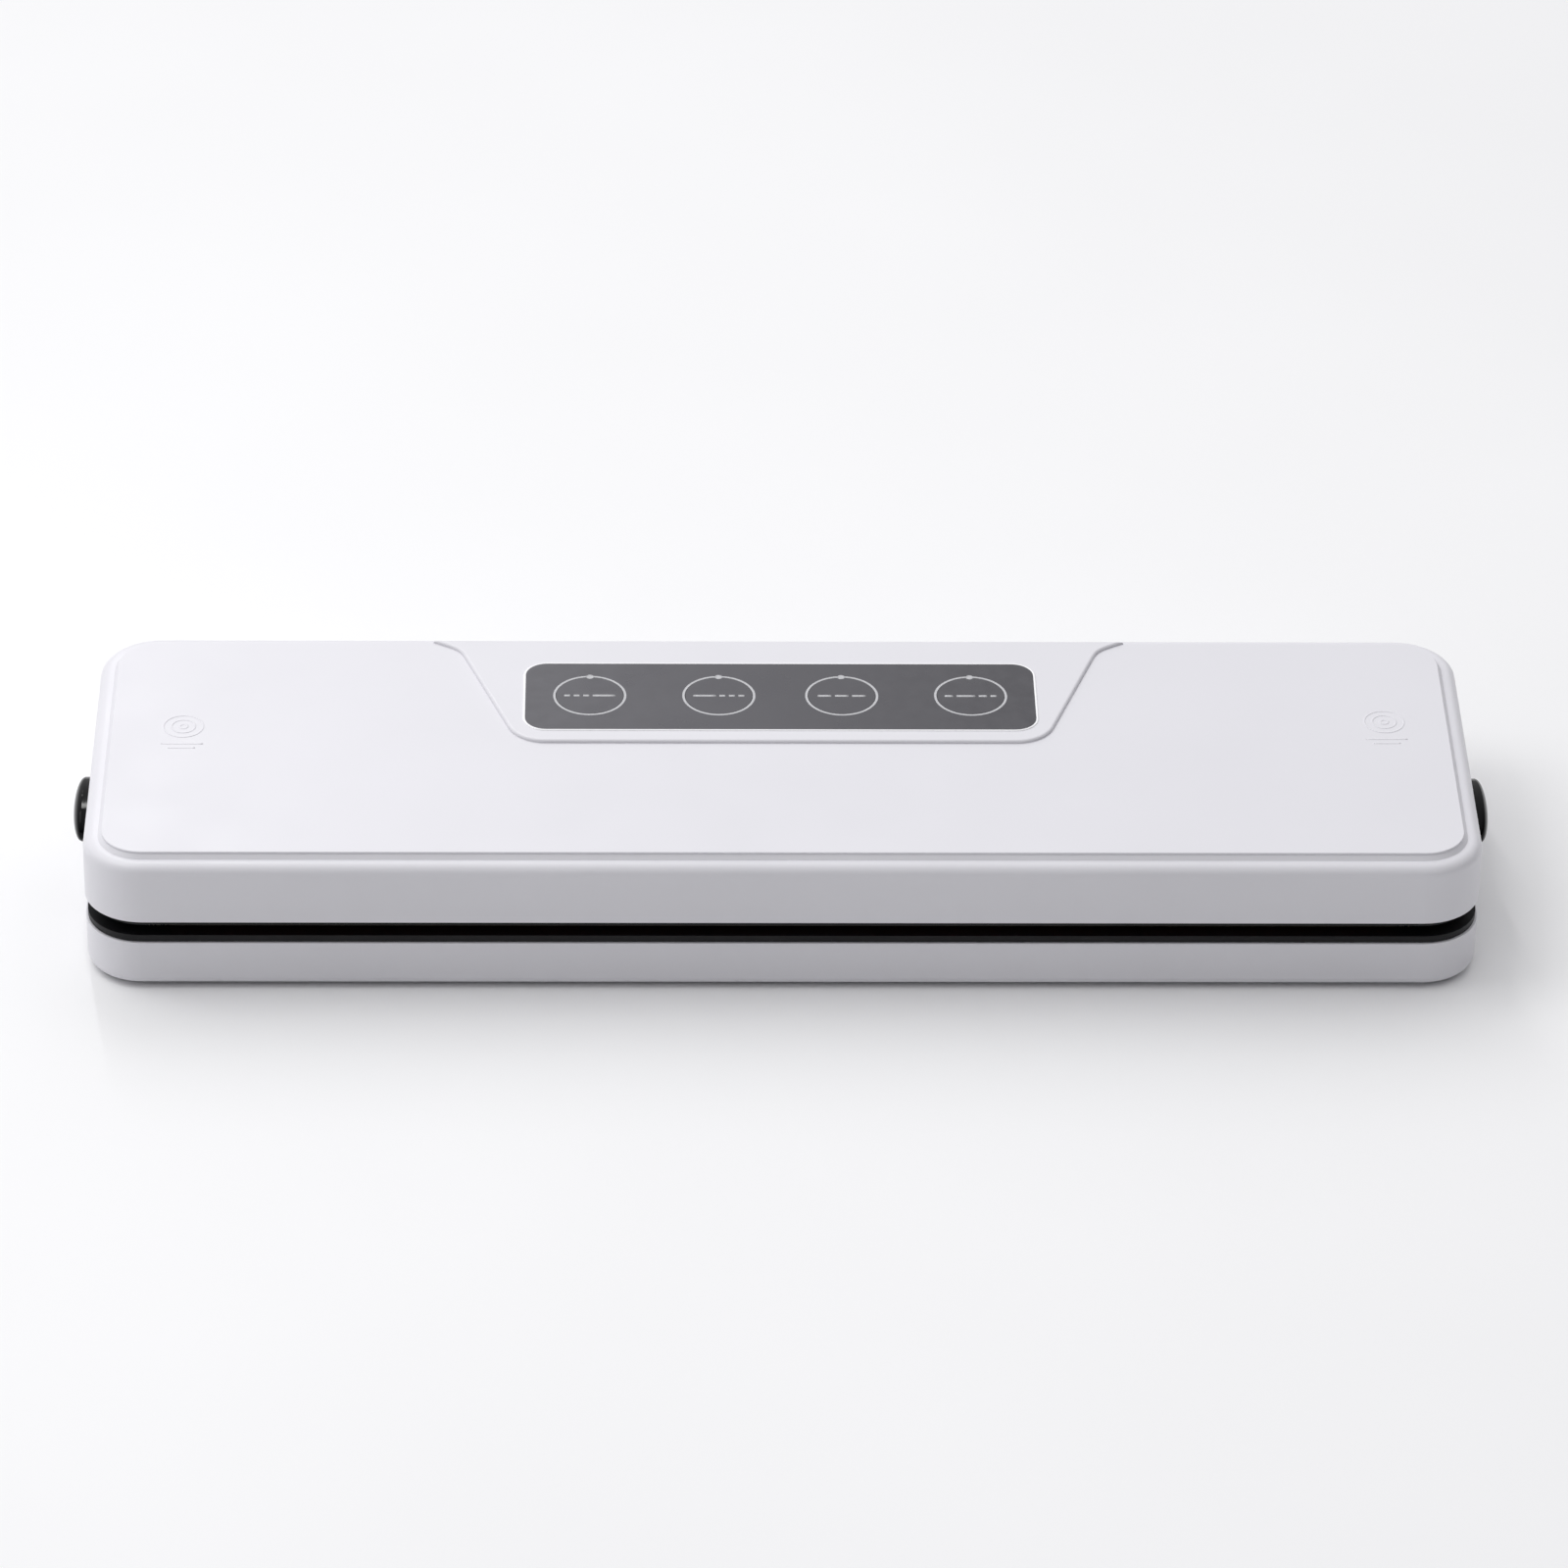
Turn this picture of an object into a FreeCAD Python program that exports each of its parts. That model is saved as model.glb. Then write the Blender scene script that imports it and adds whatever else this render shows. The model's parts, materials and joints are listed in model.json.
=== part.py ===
import FreeCAD, Part
import math
import os
import re
import Sketcher

# A slim household vacuum sealer: a shallow base and a full-length lid on a rear hinge.
# X runs along the bar, -Y is the front, +Z is up. The origin is at the middle of the
# footprint, on the surface that the rubber feet stand on. Millimetres throughout.

SIZES = {
    # Lid cover
    "lid_half_x": 180.0, "lid_half_y": 55.8, "lid_corner": 15.5, "lid_low": 21.5,
    "rim_top": 38.3, "rim_round": 3.0, "wall": 2.2,
    "plateau_top": 40.0, "plateau_inset": 3.85, "plateau_rear": 0.8, "plateau_corner": 11.65,
    "slope": 0.95, "slope_top": 39.3, "plateau_edge": 0.15,
    "pad_top": 40.9, "pad_front": 0.6, "pad_front_x": 69.0, "pad_flare_x": 84.8,
    "pad_flare_y": 45.6, "pad_rear_x": 92.0, "pad_rear": 49.9, "pad_round": 0.8,
    "pad_corner": 10.5, "pad_flare_round": 8.0, "roof": 2.2,
    # Control panel
    "panel_half_x": 67.1, "panel_low_y": 5.9, "panel_high_y": 37.9, "panel_corner": 5.6,
    "panel_low": 40.4, "panel_top": 41.1, "key_y": 22.2, "key_inner_x": 16.2,
    "key_outer_x": 50.2, "ring_outer": 9.65, "ring_inner": 9.0, "key_gap": 0.15,
    "key_low": 40.3, "key_floor": 39.7, "key_stem": 3.5, "key_stem_low": 37.45,
    "lens_y": 31.4, "lens_radius": 0.85,
    # Control board
    "pcb_low": 31.5, "pcb_top": 33.1, "pcb_half_x": 66.0, "pcb_low_y": 4.5, "pcb_high_y": 40.5,
    "cover_low": 28.0, "pcb_post_x": 61.0, "pcb_post_low_y": 8.0, "pcb_post_high_y": 37.0,
    "pcb_post": 3.0, "pcb_hole": 1.6,
    "switch_half": 3.0, "switch_top": 36.6, "switch_tip": 37.0, "switch_tip_radius": 1.7,
    # Lid plate
    "plate_low": 19.0, "plate_top": 21.3, "plate_gap": 0.4, "plate_corner": 13.0,
    "bay_hole_x": 164.0, "bay_hole_front": 1.5, "bay_hole_rear": 48.4,
    # Base
    "base_inset_x": 0.1, "base_inset_y": 1.2, "base_corner": 14.6, "foot_top": 1.2,
    "foot_radius": 6.0, "foot_stem": 2.0,
    "foot_x": 160.0, "foot_y": 40.0, "tray_top": 14.3, "tray_floor": 3.4, "tray_round": 2.5,
    "deck_low": 13.9, "deck_top": 16.4, "deck_gap": 0.3, "deck_corner": 12.0,
    "deck_lip": 0.5,
    # Vacuum trough and gaskets
    "trough_x": 150.0, "trough_front": -30.2, "trough_rear": -9.8, "trough_floor": 9.4,
    "trough_wall": 1.8, "seal_x": 161.0, "seal_front": -35.5, "seal_rear": -4.5,
    "seal_half": 3.1, "seal_corner": 6.0, "groove_low": 15.2, "lower_seal_top": 17.6,
    "upper_seal_low": 17.9, "upper_groove": 19.6,
    # Sealing heater and pressure strip
    "heat_y": -45.0, "heat_half": 4.5, "heat_x": 158.0, "bar_top": 16.6, "ribbon_top": 16.9,
    "tape_top": 17.1, "ribbon_half": 2.0, "strip_low": 17.5,
    # Electronics bay
    "bay_x": 162.0, "bay_front": 5.0, "bay_rear": 47.2, "bay_mid_top": 26.0,
    "bay_top": 34.8, "bay_tower_x": 80.0, "bay_wall": 1.8, "bay_corner": 3.0, "bay_round": 1.6,
    # Hinge
    "hinge_y": 50.5, "hinge_z": 20.4, "knuckle_radius": 2.8, "pin_radius": 1.25,
    "pin_fit": 0.1, "hinge_x": 120.0, "knuckle_half": 7.0, "hinge_half": 15.5,
    "hinge_side_gap": 0.3, "web_top": 24.5, "bridge_low": 23.7, "bridge_top": 26.0,
    # Latches
    "latch_y": -13.0, "latch_half": 7.0, "button_z": 28.2, "button_half_y": 12.6,
    "button_half_z": 5.8, "button_side": 1.7, "button_out": 4.2, "button_gap": 0.3,
    "hook_x": 169.0, "hook_out": 171.5, "hook_half": 5.0, "barb_out": 173.2, "hook_low": 11.8,
    "barb_top": 13.5, "latch_travel": 2.5, "slot_out": 172.0, "slider_in": 150.0,
    "slider_out": 175.0, "slider_top": 23.6, "tab_top": 31.0, "stop_in": 141.0,
    "stop_out": 144.0, "stop_half": 4.0, "stop_top": 27.0, "guide_top": 24.6, "guide_wall": 1.6,
    "spring_z": 24.4, "spring_outer": 2.2, "spring_inner": 1.7,
    # Pump
    "motor_y": 26.0, "motor_z": 18.0, "motor_radius": 12.0, "motor_low_x": 90.0,
    "motor_high_x": 120.6, "shaft_radius": 1.5, "head_low_x": 121.0, "head_high_x": 145.0,
    "head_half": 12.0, "head_low": 6.0, "head_top": 27.0, "crank_offset": 1.2,
    "crank_radius": 4.5, "crank_half": 3.0, "crank_x": 127.0, "rod_outer": 8.2,
    "cap_top": 32.4, "spout_x": 133.0, "spout_half": 3.0, "spout_front": 8.0, "spout_low": 28.6,
    "spout_top": 32.0, "cradle_half": 11.0, "cradle_x": 106.0, "cradle_top": 10.0,
    # Air path
    "suction_x": 112.0, "suction_z": 10.9, "suction_end": -2.0, "suction_outer": 2.4,
    "suction_bore": 1.4, "hose_radius": 2.0, "hose_bend": 4.0, "hose_rear": 10.4,
    "hose_rise": 22.5, "filter_x": 130.0, "filter_y": -20.0, "filter_outer": 6.0,
    "filter_inner": 2.0, "filter_height": 3.4,
    "port_x": 60.0, "port_z": 8.4, "port_outer": 3.1, "port_bore": 1.7, "port_front": 44.0,
    "port_rear": 55.5,
    # Power board and transformer
    "board_left": -150.0, "board_right": -84.0, "board_front": 9.0, "board_rear": 38.0,
    "board_low": 7.0, "board_top": 8.6, "core_x": -135.0, "core_half_x": 13.0, "core_y": 24.0,
    "core_half_y": 12.0, "core_top": 30.0, "limb_half": 4.0, "window_out": 9.0,
    "window_low": 13.0, "window_top": 25.6, "winding_half_x": 15.0, "winding_half_y": 8.8,
    "capacitor_x": -110.0, "capacitor_front": 17.0, "capacitor_rear": 30.0,
    "capacitor_radius": 5.0, "capacitor_top": 24.0, "filter_can_x": -95.0,
    "filter_can_radius": 4.0, "filter_can_top": 20.0,
    # Mains inlet
    "inlet_x": -120.0, "inlet_half": 11.0, "inlet_front": 41.0, "inlet_rear": 54.9,
    "inlet_low": 4.2, "inlet_top": 12.8, "inlet_z": 8.5, "inlet_floor": 45.0,
    "mouth_x": 4.0, "mouth_radius": 3.7, "mouth_half": 3.1, "prong_x": 4.3,
    "prong_radius": 1.15, "prong_rear": 53.0,
    # Air valve and sensors
    "valve_y": 20.0, "valve_z": 9.4, "coil_low_x": 38.0, "coil_high_x": 56.0, "coil_half": 6.0,
    "coil_bore": 2.3, "plunger_low_x": 44.0, "plunger_high_x": 60.0, "plunger_radius": 1.9,
    "disc_radius": 3.4, "disc_width": 2.0, "sensor_x": 19.0, "sensor_y": 19.0,
    "sensor_half": 5.0, "sensor_top": 9.4, "reed_x": -170.5, "reed_y": 19.5,
    "reed_half_x": 3.5, "reed_half_y": 2.5, "reed_low": 11.4, "magnet_half": 3.0,
    "magnet_top": 24.3,
    # Wiring
    "wire_radius": 0.9, "wire_low": 9.6, "wire_gap": 1.0, "wire_left": -84.0,
    "wire_front": 36.0, "wire_top": 29.8, "wire_end": 42.0, "base_bend": 5.0, "lid_bend": 3.0,
}

WORD = re.compile(r"[a-z][a-z_]*")
ACROSS = {"x": ("y", "z"), "y": ("x", "z"), "z": ("x", "y")}
TURNS = {
    "x": FreeCAD.Rotation(FreeCAD.Vector(0, 1, 0), 90),
    "y": FreeCAD.Rotation(FreeCAD.Vector(1, 0, 0), -90),
    "z": FreeCAD.Rotation(),
}
SIDES = (("left", -1), ("right", 1))

doc = FreeCAD.newDocument("VacuumSealer")
sheet = doc.addObject("Spreadsheet::Sheet", "Dimensions")
for row, (alias, size) in enumerate(SIZES.items(), start=1):
    sheet.set(f"A{row}", alias)
    sheet.set(f"B{row}", str(size))
    sheet.setAlias(f"B{row}", alias)
doc.recompute()

nodes = []


# ---------------------------------------------------------------- formulas and plain solids

def formula(text):
    """Point every alias in a formula at its cell in the sheet."""
    return WORD.sub(lambda word: f"Dimensions.{word.group()}" if word.group() in SIZES
                    else word.group(), str(text))


def amount(text):
    """The number that a formula gives with the sheet's values."""
    filled = WORD.sub(lambda word: f"({getattr(sheet, word.group())})", str(text))
    return FreeCAD.Units.Quantity(filled).Value


def bind(item, path, text):
    item.setExpression(path, formula(text))


def node(label, item):
    """Name a finished sub-part, which is written to a file of that name."""
    item.Label = label
    nodes.append(item)
    return item


def sided(sign, near, far):
    """A low and high X pair on the right (+1) or mirrored on the left (-1)."""
    if sign > 0:
        return near, far
    return f"-({far})", f"-({near})"


def block(name, x, y, z):
    box = doc.addObject("Part::Box", name)
    for side, axis, (low, high) in (("Length", "x", x), ("Width", "y", y), ("Height", "z", z)):
        bind(box, side, f"({high}) - ({low})")
        bind(box, f"Placement.Base.{axis}", low)
    return box


def rod(name, axis, span, centre, radius):
    """A cylinder along an axis; centre gives the other two coordinates in order."""
    cylinder = doc.addObject("Part::Cylinder", name)
    cylinder.Placement = FreeCAD.Placement(FreeCAD.Vector(), TURNS[axis])
    bind(cylinder, "Radius", radius)
    bind(cylinder, "Height", f"({span[1]}) - ({span[0]})")
    bind(cylinder, f"Placement.Base.{axis}", span[0])
    for other, place in zip(ACROSS[axis], centre):
        bind(cylinder, f"Placement.Base.{other}", place)
    return cylinder


def oval(name, sign, span, half_y, half_z):
    """An elliptical prism along X, centred on the release button."""
    edge = doc.addObject("Part::Ellipse", f"{name}_edge")
    bind(edge, "MajorRadius", half_y)
    bind(edge, "MinorRadius", half_z)
    edge.Placement = FreeCAD.Placement(
        FreeCAD.Vector(), FreeCAD.Rotation(FreeCAD.Vector(1, 1, 1), 120))
    low, high = sided(sign, *span)
    for axis, place in (("x", low), ("y", "latch_y"), ("z", "button_z")):
        bind(edge, f"Placement.Base.{axis}", place)
    prism = doc.addObject("Part::Extrusion", name)
    prism.Base = edge
    prism.DirMode = "Custom"
    prism.Dir = FreeCAD.Vector(1, 0, 0)
    prism.Solid = True
    bind(prism, "LengthFwd", f"({high}) - ({low})")
    return prism


def join(name, *pieces):
    fused = doc.addObject("Part::MultiFuse", name)
    fused.Shapes = list(pieces)
    return fused


def cut(name, base, *tools):
    result = doc.addObject("Part::Cut", name)
    result.Base = base
    result.Tool = tools[0] if len(tools) == 1 else join(f"{name}_tools", *tools)
    return result


def group(name, *pieces):
    compound = doc.addObject("Part::Compound", name)
    compound.Links = list(pieces)
    return compound


def tube(name, axis, span, centre, outer, inner):
    return cut(name, rod(f"{name}_outer", axis, span, centre, outer),
               rod(f"{name}_bore", axis, span, centre, inner))


def hose(name, places, radius_text, bend_text):
    """A solid round hose: straight runs joined by tangent arcs of one radius."""
    points = [FreeCAD.Vector(*(amount(text) for text in place)) for place in places]
    radius, bend = amount(radius_text), amount(bend_text)
    edges = []
    start = points[0]
    for before, corner, after in zip(points, points[1:], points[2:]):
        inward = (before - corner).normalize()
        outward = (after - corner).normalize()
        half_turn = inward.getAngle(outward) / 2
        reach = bend / math.tan(half_turn)
        first = corner + inward * reach
        last = corner + outward * reach
        middle_way = (inward + outward).normalize()
        centre = corner + middle_way * (bend / math.sin(half_turn))
        edges.append(Part.LineSegment(start, first).toShape())
        edges.append(Part.Arc(first, centre - middle_way * bend, last).toShape())
        start = last
    edges.append(Part.LineSegment(start, points[-1]).toShape())
    path = Part.Wire(edges)
    ring = Part.Wire([Part.makeCircle(radius, points[0], points[1] - points[0])])
    feature = doc.addObject("Part::Feature", name)
    feature.Shape = path.makePipeShell([ring], True, False)
    return feature


# ---------------------------------------------------------------- sketched solids

def rectangle(x, y):
    return [(x[0], y[0]), (x[1], y[0]), (x[1], y[1]), (x[0], y[1])]


def centred(half_x, half_y, corner):
    """A rounded plate about the origin."""
    return (f"-({half_x})", half_x), (f"-({half_y})", half_y), corner


def sketch(body, level, outlines=(), discs=(), plates=()):
    """A level sketch of outlines, circles and rounded plates, all bound to the sheet."""
    drawing = body.newObject("Sketcher::SketchObject", f"{body.Name}_sketch")
    plane = next(item for item in body.Origin.OriginFeatures if item.Role == "XY_Plane")
    drawing.AttachmentSupport = [(plane, "")]
    drawing.MapMode = "FlatFace"
    bind(drawing, "AttachmentOffset.Base.z", level)
    for points in outlines:
        first = drawing.GeometryCount
        corners = [FreeCAD.Vector(amount(x), amount(y), 0) for x, y in points]
        for here, there in zip(corners, corners[1:] + corners[:1]):
            drawing.addGeometry(Part.LineSegment(here, there))
        for number, (x, y) in enumerate(points):
            line = first + number
            following = first + (number + 1) % len(points)
            drawing.addConstraint(Sketcher.Constraint("Coincident", line, 2, following, 1))
            hold(drawing, line, 1, x, y)
    for x, y, radius in discs:
        centre = FreeCAD.Vector(amount(x), amount(y), 0)
        circle = drawing.addGeometry(
            Part.Circle(centre, FreeCAD.Vector(0, 0, 1), amount(radius)))
        hold(drawing, circle, 3, x, y)
        rule(drawing, radius, "Radius", circle)
    for x, y, corner in plates:
        draw_plate(drawing, x, y, corner)
    return drawing


def rule(drawing, text, *constraint):
    """Add a constraint whose size is a formula."""
    number = drawing.addConstraint(Sketcher.Constraint(*constraint, amount(text)))
    bind(drawing, f"Constraints[{number}]", text)


def hold(drawing, shape, point, x, y):
    """Hold a point of a sketch at a place given by two formulas."""
    rule(drawing, x, "DistanceX", -1, 1, shape, point)
    rule(drawing, y, "DistanceY", -1, 1, shape, point)


def draw_plate(drawing, x, y, corner):
    """Draw a rectangle with tangent corner arcs, anticlockwise from its front edge."""
    radius = amount(corner)
    low_x, high_x = (amount(text) for text in x)
    low_y, high_y = (amount(text) for text in y)
    up = FreeCAD.Vector(0, 0, 1)
    turns = (
        (high_x - radius, low_y + radius, -90), (high_x - radius, high_y - radius, 0),
        (low_x + radius, high_y - radius, 90), (low_x + radius, low_y + radius, 180))
    arcs = []
    for centre_x, centre_y, start in turns:
        circle = Part.Circle(FreeCAD.Vector(centre_x, centre_y, 0), up, radius)
        arcs.append(Part.ArcOfCircle(circle, math.radians(start), math.radians(start + 90)))
    sides = []
    corners = []
    for number, arc in enumerate(arcs):
        line = Part.LineSegment(arcs[number - 1].EndPoint, arc.StartPoint)
        sides.append(drawing.addGeometry(line))
        corners.append(drawing.addGeometry(arc))
    for number in range(4):
        for pair in ((sides[number], 2, corners[number], 1),
                     (corners[number - 1], 2, sides[number], 1)):
            drawing.addConstraint(Sketcher.Constraint("Tangent", *pair))
        rule(drawing, corner, "Radius", corners[number])
    for number, place in ((0, y[0]), (2, y[1])):
        drawing.addConstraint(Sketcher.Constraint("Horizontal", sides[number]))
        rule(drawing, place, "DistanceY", -1, 1, sides[number], 1)
    for number, place in ((1, x[1]), (3, x[0])):
        drawing.addConstraint(Sketcher.Constraint("Vertical", sides[number]))
        rule(drawing, place, "DistanceX", -1, 1, sides[number], 1)


def pad(body, low, high, outlines=(), discs=(), plates=()):
    feature = body.newObject("PartDesign::Pad", f"{body.Name}_pad")
    feature.Profile = sketch(body, low, outlines, discs, plates)
    bind(feature, "Length", f"({high}) - ({low})")
    doc.recompute()


def pocket(body, low, high, outlines=(), discs=(), plates=()):
    """Cut downwards from the high level to the low one, and check that it cuts."""
    before = body.Shape.Volume
    feature = body.newObject("PartDesign::Pocket", f"{body.Name}_pocket")
    feature.Profile = sketch(body, high, outlines, discs, plates)
    bind(feature, "Length", f"({high}) - ({low})")
    doc.recompute()
    if not body.Shape.Volume < before:
        raise RuntimeError(f"{feature.Name} cuts nothing")


def dress(body, kind, size, chosen):
    """Round or bevel the edges of a body that a test chooses."""
    names = [f"Edge{number}" for number, edge in enumerate(body.Shape.Edges, start=1)
             if chosen(edge)]
    if not names:
        raise RuntimeError(f"{body.Name} has no edge for its {kind}")
    shaped = body.Tip
    feature = body.newObject(f"PartDesign::{kind}", f"{body.Name}_{kind}")
    feature.Base = (shaped, names)
    bind(feature, "Radius" if kind == "Fillet" else "Size", size)
    doc.recompute()
    if "Invalid" in feature.State:
        raise RuntimeError(f"{feature.Name} failed")


def near(first, second):
    return abs(first - second) < 0.01


def upright(low, high, limit=1e6):
    """Chooses straight upright edges between two levels, within limit of the middle."""
    bottom, top = amount(low), amount(high)

    def chosen(edge):
        box = edge.BoundBox
        level = near(box.ZMin, bottom) and near(box.ZMax, top)
        return level and box.XLength < 0.01 and box.YLength < 0.01 and abs(box.XMin) < limit
    return chosen


def level_with(height):
    """Chooses edges that lie flat at one level."""
    place = amount(height)

    def chosen(edge):
        return near(edge.BoundBox.ZMin, place) and near(edge.BoundBox.ZMax, place)
    return chosen


def slab(name, x, y, z, corner):
    """A plate with upright corners rounded."""
    body = doc.addObject("PartDesign::Body", name)
    pad(body, z[0], z[1], plates=[(x, y, corner)])
    return body


def frame_ring(name, z, half_width):
    """A rounded ring around the vacuum trough, half_width to each side of its line."""
    half_width = f"({half_width})"
    outer = slab(f"{name}_outer", (f"-seal_x - {half_width}", f"seal_x + {half_width}"),
                 (f"seal_front - {half_width}", f"seal_rear + {half_width}"), z,
                 f"seal_corner + {half_width}")
    inner = slab(f"{name}_inner", (f"-seal_x + {half_width}", f"seal_x - {half_width}"),
                 (f"seal_front + {half_width}", f"seal_rear - {half_width}"), z,
                 f"seal_corner - {half_width}")
    return cut(name, outer, inner)


# ---------------------------------------------------------------- lid shells

KEY_PLACES = ("-key_outer_x", "-key_inner_x", "key_inner_x", "key_outer_x")
PCB_POSTS = [(f"{sign}*pcb_post_x", row) for sign in (-1, 1)
             for row in ("pcb_post_low_y", "pcb_post_high_y")]
LID_POSTS = [(f"{sign}*{x}", y) for x, y in (("128", "-20"), ("50", "-20"), ("171", "-38"),
                                            ("171", "30")) for sign in (-1, 1)]
CASE_POSTS = [(f"{sign}*{x}", y) for x, y in (("168", "-2"), ("90", "-40"), ("168", "28"))
              for sign in (-1, 1)]
FOOT_PLACES = [(f"{sign_x}*foot_x", f"{sign_y}*foot_y")
               for sign_x in (-1, 1) for sign_y in (-1, 1)]
BOARD_POSTS = [(x, y) for x in ("board_left + 4", "board_right - 4")
               for y in ("board_front + 3", "board_rear - 4")]


def plateau(inset, corner):
    """The lid's raised plate, set back a little further at the rear."""
    half_x = f"lid_half_x - {inset}"
    return ((f"-({half_x})", half_x),
            (f"-(lid_half_y - {inset})", f"lid_half_y - {inset} - plateau_rear"), corner)


def lid_cover():
    """The white top shell: rim, raised plateau, control pad and hollow inside."""
    body = doc.addObject("PartDesign::Body", "lid_shell")
    pad(body, "lid_low", "rim_top", plates=[centred("lid_half_x", "lid_half_y", "lid_corner")])
    dress(body, "Fillet", "rim_round", level_with("rim_top"))
    pad(body, "rim_top - 1", "slope_top", plates=[plateau("plateau_inset", "plateau_corner")])
    dress(body, "Chamfer", "slope", level_with("slope_top"))
    pad(body, "slope_top - 1", "plateau_top",
        plates=[plateau("(plateau_inset + slope + 0.05)", "plateau_corner - slope - 0.05")])
    dress(body, "Chamfer", "plateau_edge", level_with("plateau_top"))
    pad(body, "plateau_top - 1", "pad_top", [[
        ("-pad_front_x", "pad_front"), ("pad_front_x", "pad_front"),
        ("pad_flare_x", "pad_flare_y"), ("pad_rear_x", "pad_rear"),
        ("-pad_rear_x", "pad_rear"), ("-pad_flare_x", "pad_flare_y")]])
    dress(body, "Fillet", "pad_corner",
          upright("plateau_top", "pad_top", amount("pad_front_x") + 1))
    dress(body, "Fillet", "pad_flare_round",
          upright("plateau_top", "pad_top", amount("pad_flare_x") + 1))
    dress(body, "Fillet", "pad_round", level_with("pad_top"))
    pocket(body, "lid_low", "rim_top - roof",
           plates=[centred("lid_half_x - wall", "lid_half_y - wall", "lid_corner - wall")])
    pocket(body, "rim_top - roof - 1", "plateau_top - roof",
           plates=[centred("lid_half_x - 7.2", "lid_half_y - 7.2", "8")])
    pocket(body, "plateau_top - roof - 1", "pad_top - roof",
           [rectangle(("-pad_front_x + 3", "pad_front_x - 3"), ("3", "43"))])
    pocket(body, "panel_low", "pad_top", plates=[(
        ("-panel_half_x", "panel_half_x"), ("panel_low_y", "panel_high_y"), "panel_corner")])
    pocket(body, "key_floor", "panel_low", discs=[(x, "key_y", "ring_outer") for x in KEY_PLACES])
    pocket(body, "pad_top - roof - 1", "key_floor",
           discs=[(x, "key_y", "key_stem + 0.3") for x in KEY_PLACES])
    pocket(body, "pad_top - roof - 1", "panel_low",
           discs=[(x, "lens_y", "lens_radius") for x in KEY_PLACES])
    pad(body, "pcb_top", "pad_top - roof + 0.5",
        discs=[(x, y, "pcb_post") for x, y in PCB_POSTS])
    pad(body, "plate_top", "plateau_top - 1", discs=[(x, y, "3.2") for x, y in LID_POSTS[:4]])
    pad(body, "plate_top", "rim_top - 1", discs=[(x, y, "3.2") for x, y in LID_POSTS[4:]])
    pocket(body, "pcb_top", "pcb_top + 4", discs=[(x, y, "1.1") for x, y in PCB_POSTS])
    pocket(body, "plate_top", "plate_top + 9", discs=[(x, y, "1.2") for x, y in LID_POSTS])
    holes = [oval(f"button_hole_{side}", sign, ("lid_half_x - wall - 1", "lid_half_x + 1"),
                  "button_half_y + button_gap", "button_half_z + button_gap")
             for side, sign in SIDES]
    node("lid_cover", cut("lid_cover", body, *holes))


def lid_plate():
    """The black inner plate of the lid, with its hinge knuckles and latch guides."""
    body = doc.addObject("PartDesign::Body", "plate_body")
    rear_edge = "lid_half_y - wall - plate_gap"
    pad(body, "plate_low", "plate_top",
        plates=[centred("lid_half_x - wall - plate_gap", rear_edge, "plate_corner")])
    pocket(body, "plate_low", "plate_top", plates=[(
        ("-bay_hole_x", "bay_hole_x"), ("bay_hole_front", "bay_hole_rear"), "3")])
    notch = ("bay_hole_rear - 1", "lid_half_y + 1")
    pocket(body, "plate_low", "plate_top", [rectangle(("-3.5", "3.5"), notch)])
    pocket(body, "plate_low", "plate_top",
           [rectangle(sided(sign, "hook_x - latch_travel - 0.6", "barb_out + 0.5"),
                      ("latch_y - hook_half - 0.6", "latch_y + hook_half + 0.6"))
            for _, sign in SIDES])
    inner_gap, outer_gap = (f"hinge_x {way} (knuckle_half + hinge_side_gap)" for way in "-+")
    pocket(body, "plate_low", "plate_top",
           [rectangle(sided(sign, inner_gap, outer_gap), notch) for _, sign in SIDES])
    pocket(body, "plate_low", "plate_top", discs=[(x, y, "1.7") for x, y in LID_POSTS])
    pocket(body, "plate_low - 1", "upper_groove", [rectangle(
        ("-heat_x", "heat_x"), ("heat_y - heat_half + 0.5", "heat_y + heat_half - 0.5"))])
    extras = [piece for side, sign in SIDES for piece in lid_hinge(side, sign, rear_edge)]
    extras += [piece for side, sign in SIDES for piece in latch_rails(side, sign)]
    bores = [hinge_bore(f"lid_bore_{side}", sign, "pin_radius + pin_fit") for side, sign in SIDES]
    groove = frame_ring("upper_groove_ring", ("plate_low - 1", "upper_groove"), "seal_half + 0.1")
    node("lid_plate", cut("lid_plate", join("plate_whole", body, *extras), groove, *bores))


def hinge_bore(name, sign, radius):
    """The bore along one hinge, a little longer than its row of knuckles."""
    return rod(name, "x", sided(sign, "hinge_x - hinge_half - 0.5", "hinge_x + hinge_half + 0.5"),
               ("hinge_y", "hinge_z"), radius)


def lid_hinge(side, sign, rear_edge):
    """The lid's two knuckles of one hinge, their webs and the bridge over the base's knuckle."""
    pieces = []
    depth = ("bay_hole_rear", rear_edge)
    clear = "knuckle_half + hinge_side_gap"
    for part, near_x, far_x in (("inner", "hinge_x - hinge_half", f"hinge_x - ({clear})"),
                                ("outer", f"hinge_x + {clear}", "hinge_x + hinge_half")):
        span = sided(sign, near_x, far_x)
        pieces.append(rod(f"lid_knuckle_{side}_{part}", "x", span, ("hinge_y", "hinge_z"),
                          "knuckle_radius"))
        pieces.append(block(f"hinge_web_{side}_{part}", span, depth, ("plate_top - 0.2", "web_top")))
    pieces.append(block(f"hinge_bridge_{side}",
                        sided(sign, "hinge_x - hinge_half", "hinge_x + hinge_half"),
                        depth, ("bridge_low", "bridge_top")))
    return pieces


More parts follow.
